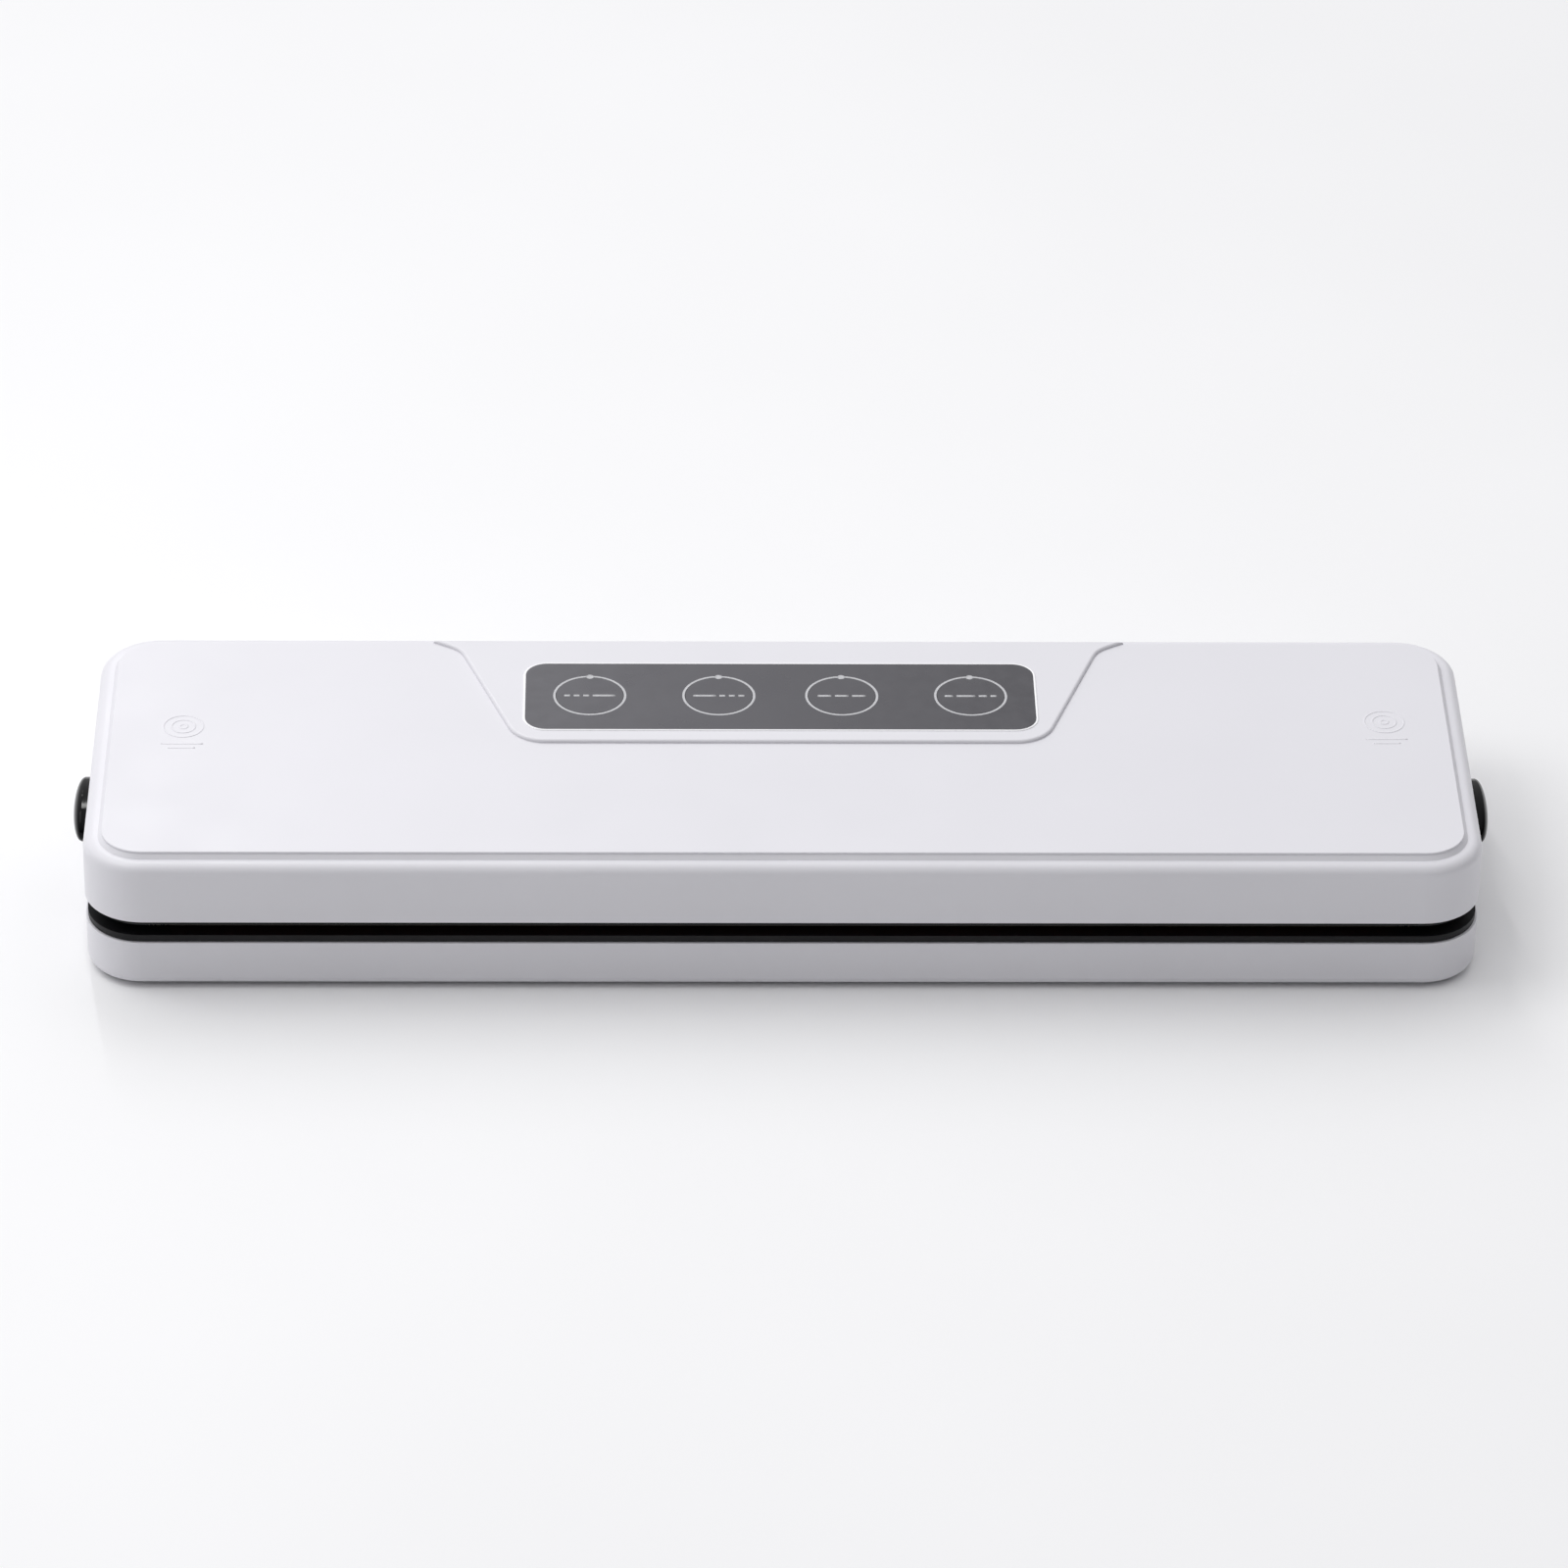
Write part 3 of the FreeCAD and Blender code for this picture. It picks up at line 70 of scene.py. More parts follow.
class Shader:
    """One procedural material: a Principled shader with the textures that drive it."""

    def __init__(self, name, roughness=0.5, metallic=0.0, coat=0.0, specular=0.5):
        self.material = bpy.data.materials.new(name)
        self.material.use_nodes = True
        self.tree = self.material.node_tree
        self.base = self.tree.nodes["Principled BSDF"]
        self.base.inputs["Roughness"].default_value = roughness
        self.base.inputs["Metallic"].default_value = metallic
        self.base.inputs["Coat Weight"].default_value = coat
        self.base.inputs["Coat Roughness"].default_value = 0.08
        self.base.inputs["Specular IOR Level"].default_value = specular
        self.place = self.add("ShaderNodeTexCoord").outputs["Object"]

    def add(self, kind, **values):
        made = self.tree.nodes.new(kind)
        for key, value in values.items():
            setattr(made, key, value)
        return made

    def link(self, source, target):
        self.tree.links.new(source, target)

    def noise(self, size, detail=3.0, stretch=(1, 1, 1)):
        """Noise whose lumps are about size metres across."""
        spread = self.add("ShaderNodeMapping")
        spread.inputs["Scale"].default_value = stretch
        self.link(self.place, spread.inputs["Vector"])
        made = self.add("ShaderNodeTexNoise")
        made.inputs["Scale"].default_value = 1 / size
        made.inputs["Detail"].default_value = detail
        self.link(spread.outputs["Vector"], made.inputs["Vector"])
        return made.outputs["Fac"]

    def cells(self, size):
        """Distance from the middle of cells about size metres across."""
        made = self.add("ShaderNodeTexVoronoi", feature="F1")
        made.inputs["Scale"].default_value = 1 / size
        self.link(self.place, made.inputs["Vector"])
        return made.outputs["Distance"]

    def waves(self, size, axis, profile="SIN"):
        """Bands size metres apart; the texture spaces them WAVE_UNIT / scale metres apart."""
        made = self.add("ShaderNodeTexWave", bands_direction=axis, wave_profile=profile)
        made.inputs["Scale"].default_value = WAVE_UNIT / size
        self.link(self.place, made.inputs["Vector"])
        return made.outputs["Fac"]

    def spread(self, value, low, high, source=(0.35, 0.65)):
        """Carry a texture's middle range to a low and high number."""
        made = self.add("ShaderNodeMapRange")
        labels = ("From Min", "From Max", "To Min", "To Max")
        for label, number in zip(labels, (*source, low, high)):
            made.inputs[label].default_value = number
        self.link(value, made.inputs["Value"])
        return made.outputs["Result"]

    def blend(self, factor, first, second):
        """Mix two colours; each is a triple or a socket."""
        made = self.add("ShaderNodeMix", data_type="RGBA")
        self.link(factor, made.inputs["Factor"])
        for socket, value in ((made.inputs[6], first), (made.inputs[7], second)):
            if isinstance(value, tuple):
                socket.default_value = (*value, 1)
            else:
                self.link(value, socket)
        return made.outputs[2]

    def maths(self, operation, first, second):
        made = self.add("ShaderNodeMath", operation=operation)
        for socket, value in zip(made.inputs, (first, second)):
            if isinstance(value, (int, float)):
                socket.default_value = value
            else:
                self.link(value, socket)
        return made.outputs["Value"]

    def edges(self, radius):
        """0 on flat faces, rising towards 1 where a face turns within radius metres."""
        rounded = self.add("ShaderNodeBevel", samples=4)
        rounded.inputs["Radius"].default_value = radius
        flat = self.add("ShaderNodeNewGeometry")
        across = self.add("ShaderNodeVectorMath", operation="DOT_PRODUCT")
        self.link(rounded.outputs["Normal"], across.inputs[0])
        self.link(flat.outputs["Normal"], across.inputs[1])
        return self.spread(across.outputs["Value"], 1.0, 0.0, (0.75, 0.99))

    def bump(self, height, depth, strength, after=None):
        made = self.add("ShaderNodeBump")
        made.inputs["Strength"].default_value = strength
        made.inputs["Distance"].default_value = depth
        self.link(height, made.inputs["Height"])
        if after is not None:
            self.link(after, made.inputs["Normal"])
        return made.outputs["Normal"]

    def finish(self, color=None, roughness=None, normal=None):
        for label, value in (("Base Color", color), ("Roughness", roughness), ("Normal", normal)):
            if value is not None:
                self.link(value, self.base.inputs[label])
        return self.material


def shade(color, factor):
    return tuple(channel * factor for channel in color)


def moulded(name, color, roughness, grain, depth, tint=0.03, wear=0.35, specular=0.5):
    """Moulded plastic: faint flow clouds, a fine spark texture and rubbed edges."""
    made = Shader(name, roughness, specular=specular)
    clouds = made.spread(made.noise(0.045, 4), 0.0, 1.0)
    body = made.blend(clouds, shade(color, 1 - tint), shade(color, 1 + tint * 0.4))
    edge = made.edges(0.0007)
    rubbed = made.maths("MULTIPLY", edge, made.spread(made.noise(0.006, 5), 0.2, wear))
    color_out = made.blend(rubbed, body, shade(color, 1.06))
    handling = made.spread(made.noise(0.02, 6), roughness - 0.05, roughness + 0.05)
    gloss = made.maths("SUBTRACT", handling, made.maths("MULTIPLY", rubbed, 0.08))
    fine = made.bump(made.noise(grain, 2), depth, 0.6)
    return made.finish(color_out, gloss, made.bump(made.noise(0.03, 2), depth * 2, 0.15, fine))


def rubber(name, color, roughness=0.75, pore=0.0005, depth=0.00005):
    """Rubber or foam skin: small pores and a dusty bloom."""
    made = Shader(name, roughness, specular=0.3)
    bloom = made.spread(made.noise(0.012, 5), 0.0, 1.0)
    color_out = made.blend(bloom, shade(color, 0.85), shade(color, 1.25))
    rough = made.spread(made.noise(0.004, 3), roughness - 0.08, roughness + 0.08)
    return made.finish(color_out, rough, made.bump(made.cells(pore), depth, 0.7))


def metal(name, color, roughness, brush=(1, 1, 1), line=0.0004):
    """Drawn or plated metal with fine lines along one direction."""
    made = Shader(name, roughness, metallic=1.0)
    lines = made.noise(line, 3, brush)
    color_out = made.blend(made.spread(made.noise(0.008, 3), 0, 1), shade(color, 0.82), color)
    rough = made.spread(lines, roughness - 0.08, roughness + 0.1)
    return made.finish(color_out, rough, made.bump(lines, 0.00002, 0.5))


def woven(name, warp, weft, pitch):
    """A coated glass weave: raised threads both ways under a brown film."""
    made = Shader(name, 0.42, coat=0.25)
    along = made.waves(pitch, "X")
    across = made.waves(pitch, "Y")
    over = made.maths("MAXIMUM", along, across)
    scorch = made.spread(made.noise(0.02, 4, (0.2, 1, 1)), 0, 0.45)
    color = made.blend(over, weft, warp)
    color = made.blend(scorch, color, shade(weft, 0.55))
    rough = made.spread(made.noise(0.003, 3), 0.34, 0.5)
    return made.finish(color, rough, made.bump(over, 0.00006, 0.8))


def film():
    """The control panel's satin film, with painted shade making it a little darker towards its right end."""
    made = Shader("panel_film", 0.3, coat=0.15, specular=0.45)
    place = made.add("ShaderNodeSeparateXYZ")
    made.link(made.place, place.inputs["Vector"])
    low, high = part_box("control_overlay")
    # Painted shade: the film's colour darkens from its left end to its right end, away from the light.
    slope = made.spread(place.outputs["X"], 0.0, 1.0, (low.x, high.x))
    body = made.blend(slope, (0.084, 0.082, 0.095), (0.036, 0.034, 0.043))
    mottle = made.spread(made.noise(0.004, 5), 0.0, 0.5)
    color = made.blend(mottle, body, (0.062, 0.060, 0.070))
    rough = made.spread(made.noise(0.012, 5), 0.25, 0.36)
    return made.finish(color, rough, made.bump(made.noise(0.00035, 2), 0.000004, 0.5))


def frosted(name, color):
    """A milky diffuser that scatters light just under its skin."""
    made = Shader(name, 0.35)
    made.base.inputs["Subsurface Weight"].default_value = 0.3
    made.base.inputs["Subsurface Scale"].default_value = 0.0004
    made.base.inputs["Subsurface Radius"].default_value = (1, 1, 1)
    milk = made.spread(made.noise(0.0015, 4), 0.0, 1.0)
    color_out = made.blend(milk, shade(color, 0.94), color)
    rough = made.spread(made.noise(0.001, 3), 0.28, 0.42)
    return made.finish(color_out, rough, made.bump(made.noise(0.0004, 2), 0.00001, 0.5))


def board():
    """Green solder mask over faint copper tracks."""
    made = Shader("circuit_board", 0.35, coat=0.3)
    tracks = made.spread(made.waves(0.0012, "DIAGONAL", "SAW"), 0.0, 1.0, (0.45, 0.55))
    color = made.blend(tracks, (0.012, 0.10, 0.045), (0.02, 0.17, 0.07))
    rough = made.spread(made.noise(0.002, 3), 0.28, 0.42)
    return made.finish(color, rough, made.bump(tracks, 0.00003, 0.5))


WHITE = (0.745, 0.738, 0.776)
# A whiter white for the panel bead: a painted highlight.
PAINTED_HIGHLIGHT_WHITE = (0.95, 0.945, 0.965)
BLACK = (0.0045, 0.0045, 0.0055)

MATERIALS = {
    "white_shell": moulded("white_shell", WHITE, 0.36, 0.00035, 0.000006, 0.012, wear=0.5),
    "black_moulding": moulded("black_moulding", BLACK, 0.5, 0.0006, 0.00003, 0.12,
                              specular=0.25),
    "panel_film": film(),
    "light_guide": frosted("light_guide", (0.54, 0.54, 0.56)),
    "black_part": moulded("black_part", (0.02, 0.02, 0.02), 0.45, 0.0005, 0.00002, 0.1),
    "circuit_board": board(),
    "black_gloss": moulded("black_gloss", (0.0025, 0.0025, 0.003), 0.07, 0.0015, 0.000001,
                           0.05, wear=0.1, specular=0.1),
    "latch_resin": moulded("latch_resin", (0.62, 0.61, 0.57), 0.4, 0.0006, 0.00001),
    "spring_steel": metal("spring_steel", (0.62, 0.62, 0.64), 0.28),
    "screw_steel": metal("screw_steel", (0.58, 0.58, 0.6), 0.32),
    "grey_rubber": rubber("grey_rubber", (0.09, 0.09, 0.095)),
    "gasket_foam": rubber("gasket_foam", (0.028, 0.028, 0.03), 0.8, 0.0006, 0.0001),
    "red_silicone": rubber("red_silicone", (0.33, 0.035, 0.022), 0.55, 0.0008, 0.00002),
    "heater_base": moulded("heater_base", (0.34, 0.28, 0.2), 0.6, 0.0007, 0.00003, 0.1),
    "nichrome": metal("nichrome", (0.5, 0.47, 0.43), 0.3, (0.05, 1, 1)),
    "ptfe": woven("ptfe", (0.36, 0.24, 0.13), (0.17, 0.10, 0.05), 0.0006),
    "plated_brass": metal("plated_brass", (0.75, 0.66, 0.46), 0.25),
    "filter_foam": rubber("filter_foam", (0.55, 0.55, 0.53), 0.9, 0.0009, 0.0003),
    "silicone_hose": rubber("silicone_hose", (0.6, 0.6, 0.57), 0.35, 0.002, 0.00001),
    "motor_steel": metal("motor_steel", (0.52, 0.52, 0.54), 0.3, (1, 0.1, 0.1)),
    "core_steel": metal("core_steel", (0.25, 0.25, 0.26), 0.45, (0.1, 1, 1), 0.0005),
    "winding_tape": moulded("winding_tape", (0.5, 0.33, 0.03), 0.3, 0.002, 0.00002, 0.08),
    "capacitor_sleeve": moulded("capacitor_sleeve", (0.02, 0.03, 0.09), 0.25, 0.001, 0.00001),
    "wire_sleeve": rubber("wire_sleeve", (0.4, 0.02, 0.015), 0.4, 0.001, 0.00001),
}


def paint(piece, slot):
    piece.data.materials.clear()
    piece.data.materials.append(MATERIALS[slot])


for part in frame["record"]["subparts"]:
    NODES[part["node"]].data.materials.clear()
    NODES[part["node"]].data.materials.append(MATERIALS[part["material_slot"]])


# ---------------------------------------------------------------- mesh building

def mesh_piece(name, build, slot, body=None):
    """Make a smooth piece from a bmesh-building function and let it ride on a body."""
    shape = bmesh.new()
    build(shape)
    bmesh.ops.recalc_face_normals(shape, faces=shape.faces)
    data = bpy.data.meshes.new(name)
    shape.to_mesh(data)
    shape.free()
    data.shade_smooth()
    piece = bpy.data.objects.new(name, data)
    bpy.context.scene.collection.objects.link(piece)
    paint(piece, slot)
    if body:
        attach(piece, body)
    return piece


def skin(shape, rings, closed=False):
    """Bridge rings of points in order; capped at both ends unless the rings close up."""
    rows = [[shape.verts.new(point) for point in ring] for ring in rings]
    pairs = list(zip(rows, rows[1:]))
    if closed:
        pairs.append((rows[-1], rows[0]))
    for first, second in pairs:
        for k in range(len(first)):
            after = (k + 1) % len(first)
            shape.faces.new((first[k], first[after], second[after], second[k]))
    if not closed:
        shape.faces.new(rows[0])
        shape.faces.new(list(reversed(rows[-1])))


def sweep(shape, path, radius, sides=10):
    """A round tube along a list of points."""
    rings = []
    side = None
    for k, point in enumerate(path):
        ahead = (path[min(k + 1, len(path) - 1)] - path[max(k - 1, 0)]).normalized()
        if side is None:
            side = ahead.orthogonal().normalized()
        side = (side - ahead * side.dot(ahead)).normalized()
        other = ahead.cross(side)
        rings.append([point + radius * (math.cos(t) * side + math.sin(t) * other)
                      for t in (2 * math.pi * n / sides for n in range(sides))])
    skin(shape, rings)


def follow(shape, path, profile, closed=False):
    """Sweep a flat (across, up) profile along level points."""
    rings = []
    count = len(path)
    for k, point in enumerate(path):
        if closed:
            ahead = path[(k + 1) % count] - path[k - 1]
        else:
            ahead = path[min(k + 1, count - 1)] - path[max(k - 1, 0)]
        across = Vector((ahead.y, -ahead.x, 0)).normalized()
        rings.append([point + across * x + Vector((0, 0, z)) for x, z in profile])
    skin(shape, rings, closed)


def line(start, end, count):
    return [start.lerp(end, k / count) for k in range(count + 1)]


def arc(centre, radius, first, last, count):
    """Level points around a centre, angles in degrees."""
    turns = (math.radians(first + (last - first) * k / count) for k in range(count + 1))
    return [centre + radius * Vector((math.cos(t), math.sin(t), 0)) for t in turns]


def rounded_loop(low, high, z, corner):
    """Points around a level rounded rectangle, about a step apart on its straight sides."""
    step = 6 * MM
    points = []
    centres = ((high.x - corner, low.y + corner, -90), (high.x - corner, high.y - corner, 0),
               (low.x + corner, high.y - corner, 90), (low.x + corner, low.y + corner, 180))
    bends = [arc(Vector((x, y, z)), corner, start, start + 90, 8) for x, y, start in centres]
    for k, bend in enumerate(bends):
        start = bends[k - 1][-1]
        pieces = max(1, round((bend[0] - start).length / step))
        points += line(start, bend[0], pieces)[1:-1] + bend
    return points


def crown(half, low, high, edge):
    """A strip's profile: flat underneath, upright sides and a crowned top."""
    count = 6
    points = [(-half, low), (half, low)]
    for k in range(2 * count + 1):
        turn = math.pi * k / (2 * count)
        bulge = abs(math.cos(turn)) ** 0.6 * math.copysign(1, math.cos(turn))
        points.append((half * bulge, high - edge * (1 - math.sin(turn) ** 0.8)))
    return points


def stroke(width, height):
    """The low rounded profile of a printed or embossed line."""
    return [(-width / 2, -height), (width / 2, -height), (width * 0.42, height * 0.6),
            (width * 0.22, height), (-width * 0.22, height), (-width * 0.42, height * 0.6)]


# ---------------------------------------------------------------- soft parts

def joint_named(name):
    return next(joint for joint in frame["joints"] if joint["name"] == name)


def gasket(node, body, upside_down=False):
    """A soft foam ring with a crowned sealing face."""
    low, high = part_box(node)
    half, corner, shoulder = 3.1 * MM, 6 * MM, 0.9 * MM
    inset = Vector((half, half, 0))
    path = rounded_loop(low + inset, high - inset, 0, corner)
    profile = crown(half, low.z, high.z, shoulder)
    if upside_down:
        profile = [(x, low.z + high.z - z) for x, z in profile]

    def build(shape):
        follow(shape, path, profile, closed=True)
    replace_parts(mesh_piece(f"{node}_foam", build, "gasket_foam", body), node)


def pressure_strip():
    """The silicone strip above the heater, crowned and finely ribbed along its face."""
    low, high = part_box("pressure_strip")
    half = (high.y - low.y) / 2
    shoulder, crowning, rib_height, steps = 0.7 * MM, 0.35 * MM, 0.09 * MM, 24
    face = [(half, high.z), (-half, high.z), (-half, low.z + shoulder)]
    for k in range(steps + 1):
        across = -1 + 2 * k / steps
        rib = rib_height * (1 - math.cos(across * math.pi * 6)) / 2
        face.append((half * 0.97 * across, low.z + crowning * across ** 6 + rib))
    face.append((half, low.z + shoulder))
    middle = (low.y + high.y) / 2
    path = line(Vector((low.x, middle, 0)), Vector((high.x, middle, 0)), 60)
    strip = mesh_piece("pressure_strip_ribbed", lambda shape: follow(shape, path, face),
                       "red_silicone", "lid")
    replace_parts(strip, "pressure_strip")


def heater_tape():
    """The coated glass cloth stretched over the heater ribbon, with its slight ripples."""
    low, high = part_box("ptfe_tape")
    columns, rows = 200, 12

    def height(x, y):
        across = 2 * (y - low.y) / (high.y - low.y) - 1
        ribbon = 0.12 * MM * math.exp(-(across / 0.5) ** 4)
        ripple = 0.025 * MM * math.sin(x * 190 + 3 * across) * math.sin(x * 67 + across)
        return high.z - 0.1 * MM + ribbon + ripple * (1 - across ** 4)

    def build(shape):
        rings = []
        for k in range(columns + 1):
            x = low.x + (high.x - low.x) * k / columns
            ring = [Vector((x, high.y, low.z)), Vector((x, low.y, low.z))]
            for n in range(rows + 1):
                y = low.y + (high.y - low.y) * n / rows
                ring.append(Vector((x, y, height(x, y))))
            rings.append(ring)
        skin(shape, rings)
    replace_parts(mesh_piece("ptfe_tape_cloth", build, "ptfe", "base"), "ptfe_tape")


def inlet_filter():
    """A soft foam ring over the suction hole, with rounded edges and an uneven skin."""
    low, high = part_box("inlet_filter")
    middle = (low + high) / 2
    outer, inner = (high.x - low.x) / 2, 2 * MM
    thick, width = (high.z - low.z) / 2, (outer - inner) / 2
    around, sides = 64, 16

    def build(shape):
        rings = []
        for k in range(around):
            turn = 2 * math.pi * k / around
            ring = []
            for n in range(sides):
                t = 2 * math.pi * n / sides
                lump = 1 - 0.03 * (1 + math.sin(7 * turn + 3 * t) * math.cos(11 * turn - t))
                out = abs(math.cos(t)) ** 0.5 * math.copysign(1, math.cos(t)) * width * lump
                up = abs(math.sin(t)) ** 0.5 * math.copysign(1, math.sin(t)) * thick * lump
                reach = (outer + inner) / 2 + out
                ring.append(Vector((middle.x + reach * math.cos(turn),
                                    middle.y + reach * math.sin(turn), middle.z + up)))
            rings.append(ring)
        skin(shape, rings, closed=True)
    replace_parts(mesh_piece("inlet_filter_foam", build, "filter_foam", "base"), "inlet_filter")


def harness():
    """Two twisted wires from the power board up through the hinge line into the lid."""
    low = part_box("base_harness")[0]
    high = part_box("lid_harness")[1]
    lid_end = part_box("lid_harness")[0]
    hinge = Vector(joint_named("lid_hinge")["pos_m"])
    radius, reach = 0.9 * MM, 2 * MM
    floor, ceiling = low.z + radius, high.z - radius
    corners = [Vector(place) for place in (
        (low.x, 36 * MM, floor), (-14 * MM, 48 * MM, floor), (0, hinge.y, floor),
        (0, hinge.y, low.z + 5 * MM), (0, hinge.y, hinge.z - reach), (0, hinge.y, hinge.z + reach),
        (0, hinge.y, high.z - 3 * MM), (0, hinge.y - 1 * MM, ceiling), (0, lid_end.y, ceiling))]
    curve = bpy.data.curves.new("harness_route", "CURVE")
    curve.dimensions = "3D"
    spline = curve.splines.new("NURBS")
    spline.points.add(len(corners) - 1)
    for point, corner in zip(spline.points, corners):
        point.co = (*corner, 1)
    spline.order_u = 3
    spline.use_endpoint_u = True
    spline.resolution_u = 24
    route = bpy.data.objects.new("harness_route", curve)
    run = [vertex.co.copy() for vertex in bpy.data.meshes.new_from_object(route).vertices]
    bpy.data.objects.remove(route)

    twist, wire, per_turn = 0.45 * MM, 0.43 * MM, 2.2 * MM

    def build(shape):
        for start in (0, math.pi):
            travelled = 0
            path = []
            for k, point in enumerate(run):
                ahead = (run[min(k + 1, len(run) - 1)] - run[max(k - 1, 0)]).normalized()
                side = ahead.cross(Vector((1, 0.2, 0))).normalized()
                turn = start + travelled / per_turn
                path.append(point + twist * (math.cos(turn) * side
                                             + math.sin(turn) * ahead.cross(side)))
                if k + 1 < len(run):
                    travelled += (run[k + 1] - point).length
            sweep(shape, path, wire, 8)
    wires = mesh_piece("hinge_wires", build, "wire_sleeve")
    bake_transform(wires)
    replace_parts(wires, "base_harness", "lid_harness")


def coil_spring(side):
    """A latch's return spring with close end turns, squeezed against its stop in the lid."""
    low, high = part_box(f"latch_spring_{side}")
    middle = (low + high) / 2
    wire = 0.26 * MM
    radius = (high.z - low.z) / 2 - wire
    length = high.x - low.x - 2 * wire
    turns, steps = 5.5, 180
    path = []
    for k in range(steps + 1):
        part = k / steps
        along = low.x + wire + length * (part - 0.11 * math.sin(2 * math.pi * part))
        turn = 2 * math.pi * turns * part
        path.append(Vector((along, middle.y + radius * math.cos(turn),
                            middle.z + radius * math.sin(turn))))
    piece = mesh_piece(f"spring_coil_{side}", lambda shape: sweep(shape, path, wire),
                       "spring_steel", "lid")
    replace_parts(piece, f"latch_spring_{side}")
    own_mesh(piece)


# ---------------------------------------------------------------- printed and embossed marks

# Lengths in millimetres of the dashes printed on each key, from left to right.
KEY_DASHES = ((1.6, 1.6, 1.6, 6), (6, 1.6, 1.6, 1.6), (3.6, 3.6, 3.6), (2.2, 5, 2.2, 1.6))


def key_mark(number, dashes):
    """A plain row of printed dashes across a key cap."""
    low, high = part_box(f"key_cap_{number}")
    middle = (low + high) / 2
    gap, tall = 0.9 * MM, 0.95 * MM
    width = sum(dashes) * MM + gap * (len(dashes) - 1)

    def build(shape):
        x = middle.x - width / 2
        for dash in dashes:
            start, end = Vector((x, middle.y, high.z)), Vector((x + dash * MM, middle.y, high.z))
            follow(shape, line(start, end, 4), stroke(tall, 0.015 * MM))
            x += dash * MM + gap
    mesh_piece(f"key_print_{number}", build, "light_guide", f"key_{number}")


def lamp_marks():
    """The bright printed ring around each indicator lens."""
    low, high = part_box("indicator_lenses")
    y = (low.y + high.y) / 2

    def build(shape):
        for number in range(1, 5):
            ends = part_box(f"key_cap_{number}")
            centre = Vector(((ends[0].x + ends[1].x) / 2, y, high.z))
            follow(shape, arc(centre, 0.88 * MM, 0, 337.5, 15), stroke(0.28 * MM, 0.02 * MM),
                   closed=True)
    mesh_piece("lamp_rings", build, "light_guide", "lid")


def panel_bead():
    """The fine bead that frames the control film, coloured whiter than the shell as a painted highlight."""
    low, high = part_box("control_overlay")
    edge = Vector((0.3, 0.3, 0)) * MM
    path = rounded_loop(low - edge, high + edge, 40.9 * MM, 5.9 * MM)
    bead = mesh_piece("panel_bead", lambda shape: follow(shape, path, stroke(0.75 * MM, 0.2 * MM),
                                                         closed=True), "white_shell", "lid")
    # The bead's whiter colour is a painted highlight along the film's edge.
    bead.data.materials[0] = moulded("bead_painted_highlight", PAINTED_HIGHLIGHT_WHITE, 0.25, 0.00035, 0.000004, 0.01)


def press_mark(name, x, y, z):
    """A plain embossed press mark near a latch: two rings, a centre dot and a short bar."""
    centre = Vector((x, y, z)) * MM

    def build(shape):
        for radius, width in ((1.0, 0.8), (3.1, 0.55), (5.2, 0.55)):
            follow(shape, arc(centre, radius * MM, 0, 352.5, 47), stroke(width * MM, 0.1 * MM),
                   closed=True)
        for offset, half in ((-8.4, 5.5), (-10.4, 3.5)):
            start = centre + Vector((-half, offset, 0)) * MM
            end = centre + Vector((half, offset, 0)) * MM
            follow(shape, line(start, end, 12), stroke(0.6 * MM, 0.09 * MM))
    mesh_piece(name, build, "white_shell", "lid")


gasket("lower_gasket", "base")
gasket("upper_gasket", "lid", upside_down=True)
pressure_strip()
heater_tape()
inlet_filter()
harness()
for side, sign in (("left", -1), ("right", 1)):
    coil_spring(side)
for number, dashes in enumerate(KEY_DASHES, start=1):
    key_mark(number, dashes)
lamp_marks()
panel_bead()
press_mark("press_mark_left", -156.5, 8.5, 40.0)
press_mark("press_mark_right", 158.6, 11.5, 40.0)


# ---------------------------------------------------------------- camera, light and floor

def camera():
    """A long lens looking down at the front edge, turned a little to the left."""
    down, turn, roll = (math.radians(angle) for angle in (33.031, 1.303, 0.785))
    ahead = Vector((math.sin(turn) * math.cos(down), math.cos(turn) * math.cos(down),
                    -math.sin(down)))
    level = Vector((math.cos(turn), -math.sin(turn), 0))
    upright = level.cross(ahead)
    right = level * math.cos(roll) + upright * math.sin(roll)
    top = upright * math.cos(roll) - level * math.sin(roll)
    target = Vector((0.8, 0, 27.77)) * MM
    distance, focal_length = 2.0282, 177.63
    place = target - ahead * distance
    lens = bpy.data.cameras.new("camera")
    lens.lens = focal_length
    lens.sensor_width = 36
    lens.clip_end = 20
    eye = bpy.data.objects.new("camera", lens)
    bpy.context.scene.collection.objects.link(eye)
    axes = Matrix((right, top, -ahead)).transposed()
    eye.matrix_world = Matrix.Translation(place) @ axes.to_4x4()
    bpy.context.scene.camera = eye


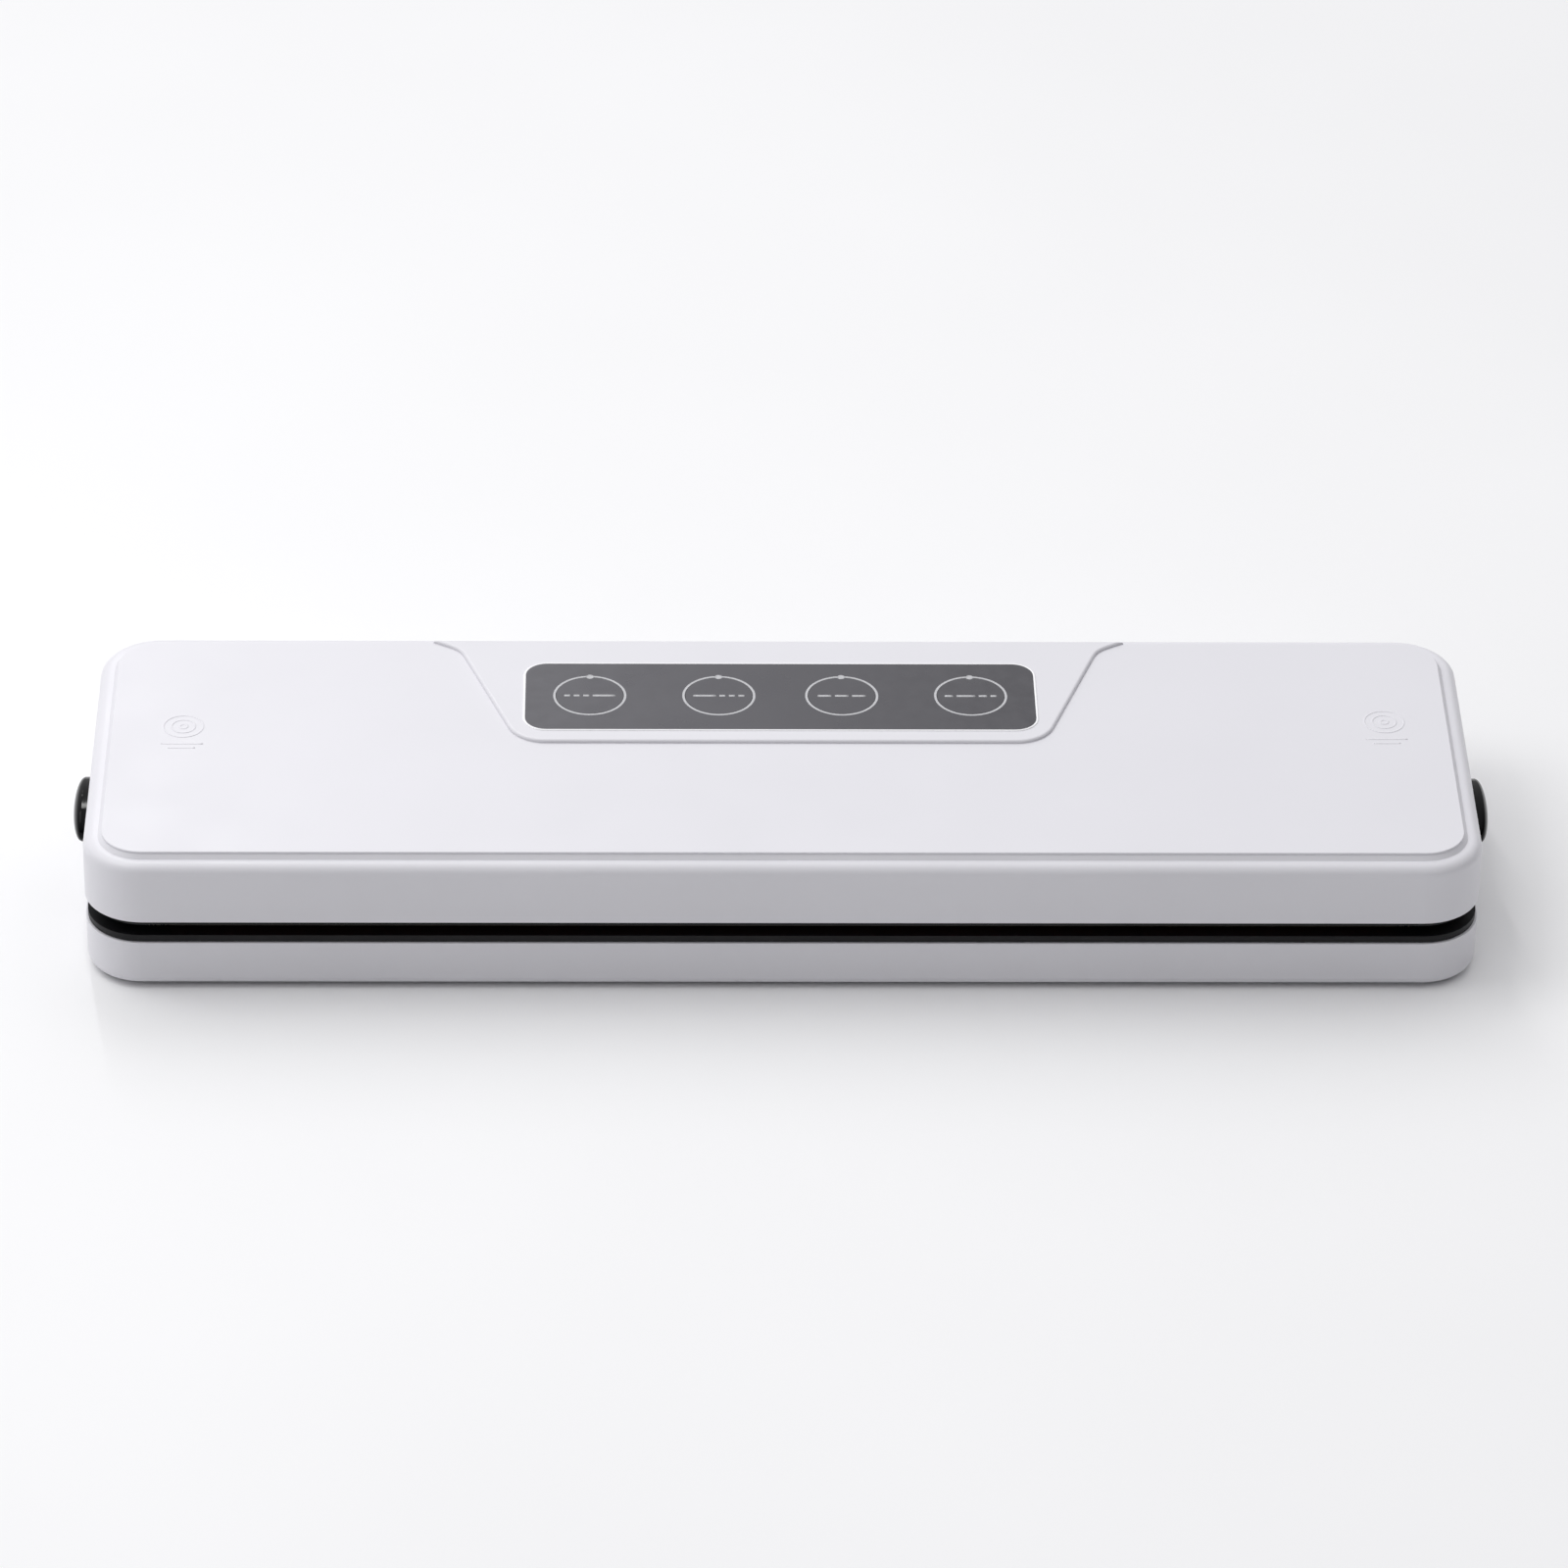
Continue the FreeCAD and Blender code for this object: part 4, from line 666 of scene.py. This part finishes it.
def area_light(name, place, target, size, power):
    light = bpy.data.lights.new(name, "AREA")
    light.shape = "RECTANGLE"
    light.size, light.size_y = size
    light.energy = power
    lamp = bpy.data.objects.new(name, light)
    lamp.location = place
    lamp.rotation_euler = (Vector(target) - Vector(place)).to_track_quat("-Z", "Y").to_euler()
    bpy.context.scene.collection.objects.link(lamp)


def studio():
    """A bright overhead sky, a soft key from the upper left, a strip light and a pale floor."""
    sky_slope, sky_level, sky_least = (-0.31, 0.39, 0.99), 0.12, 0.03
    reach = 6
    world = bpy.data.worlds.new("studio")
    bpy.context.scene.world = world
    world.use_nodes = True
    tree = world.node_tree
    sky = tree.nodes["Background"]
    sky.inputs["Color"].default_value = (0.985, 0.985, 1.0, 1)
    place = tree.nodes.new("ShaderNodeTexCoord")
    slope = tree.nodes.new("ShaderNodeVectorMath")
    slope.operation = "DOT_PRODUCT"
    slope.inputs[1].default_value = sky_slope
    tree.links.new(place.outputs["Generated"], slope.inputs[0])
    level = tree.nodes.new("ShaderNodeMath")
    level.operation = "ADD"
    level.inputs[1].default_value = sky_level
    tree.links.new(slope.outputs["Value"], level.inputs[0])
    least = tree.nodes.new("ShaderNodeMath")
    least.operation = "MAXIMUM"
    least.inputs[1].default_value = sky_least
    tree.links.new(level.outputs["Value"], least.inputs[0])
    tree.links.new(least.outputs["Value"], sky.inputs["Strength"])
    area_light("key", (-0.5, 0.0, 0.8), target=(0, 0, 0), size=(0.5, 0.5), power=1.95)
    area_light("glint", (-0.4, 1.42, 1.7), target=(-0.18, 0, 0.03), size=(0.055, 1.5), power=7)
    floor_data = bpy.data.meshes.new("floor")
    corners = [(-reach, -reach, 0), (reach, -reach, 0), (reach, reach, 0), (-reach, reach, 0)]
    floor_data.from_pydata(corners, [], [(0, 1, 2, 3)])
    floor = bpy.data.objects.new("floor", floor_data)
    bpy.context.scene.collection.objects.link(floor)
    made = Shader("floor", 0.7, specular=0.2)
    paper = made.spread(made.noise(0.25, 3), 0, 1)
    color = made.blend(paper, (0.89, 0.89, 0.895), (0.91, 0.91, 0.915))
    floor_data.materials.append(made.finish(color))
    bpy.context.scene.view_settings.view_transform = "Standard"


camera()
studio()
